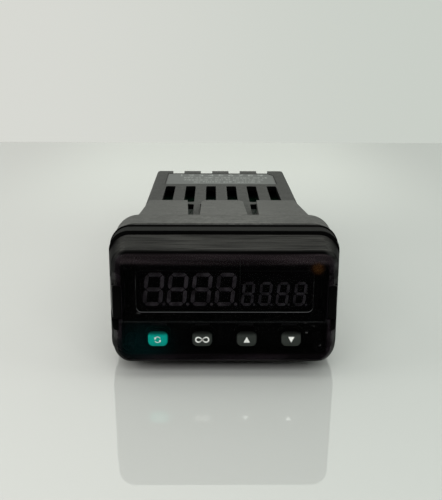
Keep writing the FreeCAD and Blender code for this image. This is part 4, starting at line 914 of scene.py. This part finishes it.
def make_label_numerals(material):
    """A row of plain numbers over the terminals."""
    low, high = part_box("rating_label")
    shapes = []
    for i in range(NUMERAL_COUNT):
        text = bpy.data.curves.new("numeral", "FONT")
        text.body = str(i + 1)
        text.size = NUMERAL_SIZE
        text.align_x = "CENTER"
        text.extrude = INK
        text.offset = 0.05 * MM
        holder = bpy.data.objects.new("numeral", text)
        bpy.context.scene.collection.objects.link(holder)
        bpy.context.view_layer.update()
        mesh = bpy.data.meshes.new_from_object(
            holder.evaluated_get(bpy.context.evaluated_depsgraph_get()))
        spot = Vector((low.x + NUMERAL_START + NUMERAL_PITCH * i, high.y - NUMERAL_LINE,
                       high.z))
        mesh.transform(Matrix.Translation(spot))
        shapes.append(([v.co.copy() for v in mesh.vertices],
                       [tuple(p.vertices) for p in mesh.polygons]))
        bpy.data.objects.remove(holder)
    fit(new_piece("label_numerals", *joined(shapes), material), "case", "label_film")


# ---------------------------------------------------------------- stage, light, camera
COLLAR_REAR_EDGE = 8.8 * MM
FLOOR_NEAR, FLOOR_FAR, FLOOR_REACH, FLOOR_GAP = -2.0, 0.256, 2.5, 0.03 * MM
LIGHTS = (  # name, place, size, watts, colour
    ("front_key", (0.0, -0.6, 0.45), (1.0, 0.3), 5.5, (1.0, 1.0, 1.0)),
    ("overhead", (0.0, -0.05, 0.62), (0.7, 0.5), 1.6, (1.0, 1.0, 1.0)),
    ("left_fill", (-0.55, -0.12, 0.28), (0.3, 0.5), 1.0, (1.0, 0.98, 0.97)),
    ("right_fill", (0.55, -0.12, 0.28), (0.3, 0.5), 0.6, (0.96, 1.0, 0.97)),
)
CAMERA_PLACE = Vector((-2.735, -176.83, 60.13)) * MM
CAMERA_PITCH, CAMERA_YAW, CAMERA_ROLL = 0.2783, -0.0114, 0.0046
CAMERA_LENS = 56.545


def floor_height(y):
    """The level that the collar's rim and the case's rear edge rest on."""
    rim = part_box("mounting_collar")[0].z
    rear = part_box("case_shell")[1].y
    slope = (-CASE_HALF_HEIGHT - rim) / (rear - COLLAR_REAR_EDGE)
    return rim + (y - COLLAR_REAR_EDGE) * slope - FLOOR_GAP


def make_floor():
    """Pale gloss board; painted shade makes it cooler and a little deeper in tone to the
    right, and a painted pool of light brightens it further back in the middle.
    """
    m = Finish("pale_floor")
    x, y, _ = m.axes()
    # Painted shade: the tone falls off to the right, tinted like the right lamp.
    side = x.rise(-70, 70) + m.noise(6, 2.0) * 0.1
    colour = m.mix(side, (0.475, 0.48, 0.46), (0.415, 0.432, 0.412))
    # Painted light: a brighter pool further back on the board, in the middle.
    behind = y.rise(80, 200) * (1 - x.size().rise(40, 110))
    material = m.surface(colour=m.mix(behind, colour, (0.58, 0.60, 0.565)),
                         rough=0.02 + side * 0.005, specular=1.0, ior=1.75)
    corners = [(x, y, floor_height(y)) for x, y in (
        (-FLOOR_REACH, FLOOR_NEAR), (FLOOR_REACH, FLOOR_NEAR), (FLOOR_REACH, FLOOR_FAR),
        (-FLOOR_REACH, FLOOR_FAR))]
    new_piece("pale_floor", corners, [(0, 1, 2, 3)], material)


def make_world():
    """Pale surroundings, dim in front so that the glossy face stays black."""
    world = bpy.data.worlds.new("studio")
    bpy.context.scene.world = world
    world.use_nodes = True
    w = Builder(world.node_tree)
    split = w.tree.nodes.new("ShaderNodeSeparateXYZ")
    direction = w.node("ShaderNodeTexCoord", out="Generated")
    w.tree.links.new(direction.socket, split.inputs[0])
    across, ahead = Wire(w, split.outputs["X"]), Wire(w, split.outputs["Y"])
    wall = w.mix(across.rise(-0.28, 0.30), (0.686, 0.693, 0.651), (0.585, 0.622, 0.572))
    surround = w.mix(ahead.rise(-0.85, -0.15), (0.10, 0.10, 0.10), wall)
    seen = w.node("ShaderNodeLightPath", out="Is Camera Ray")
    backdrop = w.mix(seen, surround, wall)
    shade = w.node("ShaderNodeBackground", inputs={"Color": backdrop})
    w.node("ShaderNodeOutputWorld", inputs={"Surface": shade})


def make_lights():
    """Soft boxes aimed at the panel's centre, kept out of reflections."""
    for name, place, size, power, colour in LIGHTS:
        lamp = bpy.data.lights.new(name, "AREA")
        lamp.shape = "RECTANGLE"
        lamp.size, lamp.size_y = size
        lamp.energy = power
        lamp.color = colour
        holder = bpy.data.objects.new(name, lamp)
        aim = -Vector(place)
        holder.matrix_world = (Matrix.Translation(place)
                               @ aim.to_track_quat("-Z", "Y").to_matrix().to_4x4())
        holder.visible_glossy = False
        bpy.context.scene.collection.objects.link(holder)


def make_camera():
    """A camera a little above the part, looking down along it from the front."""
    data = bpy.data.cameras.new("camera")
    data.lens = CAMERA_LENS
    data.sensor_width = 36.0
    data.clip_start, data.clip_end = 0.01, 20.0
    camera = bpy.data.objects.new("camera", data)
    bpy.context.scene.collection.objects.link(camera)
    turn = (Matrix.Rotation(CAMERA_YAW, 4, "Z")
            @ Matrix.Rotation(math.pi / 2 - CAMERA_PITCH, 4, "X")
            @ Matrix.Rotation(CAMERA_ROLL, 4, "Z"))
    camera.matrix_world = Matrix.Translation(CAMERA_PLACE) @ turn
    bpy.context.scene.camera = camera


# ---------------------------------------------------------------- the whole object
def dress_solids(rubber, component, chassis, steel):
    """Give every solid that stays as it is a finish of its own kind."""
    body = display_body()
    terminal = moulded_black("terminal_plastic", (0.012, 0.013, 0.013),
                             (0.022, 0.024, 0.023), 1200)
    main_board = board_laminate("main_board", (0.001, 0.006, 0.003),
                                (0.004, 0.018, 0.009))
    face_board = board_laminate("face_board", (0.0008, 0.0012, 0.0012),
                                (0.0018, 0.0026, 0.0026))
    finishes = {
        "case_shell": moulded_case("case_plastic", (0.042, 0.043, 0.040)),
        "mounting_collar": moulded_case("collar_plastic", (0.070, 0.071, 0.066)),
        "rating_label": label_film(),
        "panel_gasket": rubber,
        "bezel_seal": rubber,
        "chassis_frame": chassis,
        "cover_screws": blackened_steel(),
        "display_board": face_board,
        "process_display": body,
        "set_display": body,
        "process_segments": display_segment("process_diffuser", (0.068, 0.060, 0.070)),
        "set_segments": display_segment("set_diffuser", (0.053, 0.049, 0.057)),
        "key_switches": component,
        "upper_board": main_board,
        "lower_board": main_board,
        "board_pins": pin_brass(),
        "board_link": component,
        "transformer_core": laminated_core(),
        "transformer_winding": copper_winding(),
        "smoothing_capacitors": can_aluminium(),
        "output_relays": component,
        "control_chips": component,
        "terminal_block_upper": terminal,
        "terminal_block_lower": terminal,
        "terminal_clamps": steel,
    }
    for node, material in finishes.items():
        mesh = nodes[node].data
        mesh.materials.clear()
        mesh.materials.append(material)


def make_keys():
    """The green key and the three grey ones, each with its sign."""
    white = white_print()
    green = key_rubber("green_rubber", (0.0005, 0.205, 0.166), (0.001, 0.26, 0.21))
    grey = key_rubber("grey_rubber", (0.019, 0.022, 0.020), (0.030, 0.034, 0.030))
    signs = (advance_sign(), infinity_sign(), arrow_sign(1), arrow_sign(-1))
    for key, sign in zip(KEYS, signs):
        first = key == KEYS[0]
        make_key(key, green if first else grey, sign, white,
                 "green_rubber" if first else "grey_rubber")


def main():
    """Dress the solids, add the finer pieces, and set the stage."""
    bpy.context.scene.view_settings.view_transform = "Standard"
    component = moulded_black("black_component", (0.010, 0.010, 0.011),
                              (0.020, 0.020, 0.022), 1800)
    chassis = moulded_black("chassis_plastic", (0.0010, 0.0010, 0.0011),
                            (0.0024, 0.0024, 0.0025), 1500, 0.05)
    steel, latch, print_ink = plated_steel(), latch_plastic(), label_print()
    dress_solids(gasket_rubber(), component, chassis, steel)
    make_cover(smoked_moulding())
    make_screw_posts(chassis)
    make_window_edge(window_edge())
    make_latch("latch_left", "left_latch", latch)
    make_latch("latch_right", "right_latch", latch)
    make_keys()
    make_terminal_screws(steel)
    make_label_numerals(print_ink)
    make_label_dashes(print_ink)
    make_floor()
    make_world()
    make_lights()
    make_camera()


main()
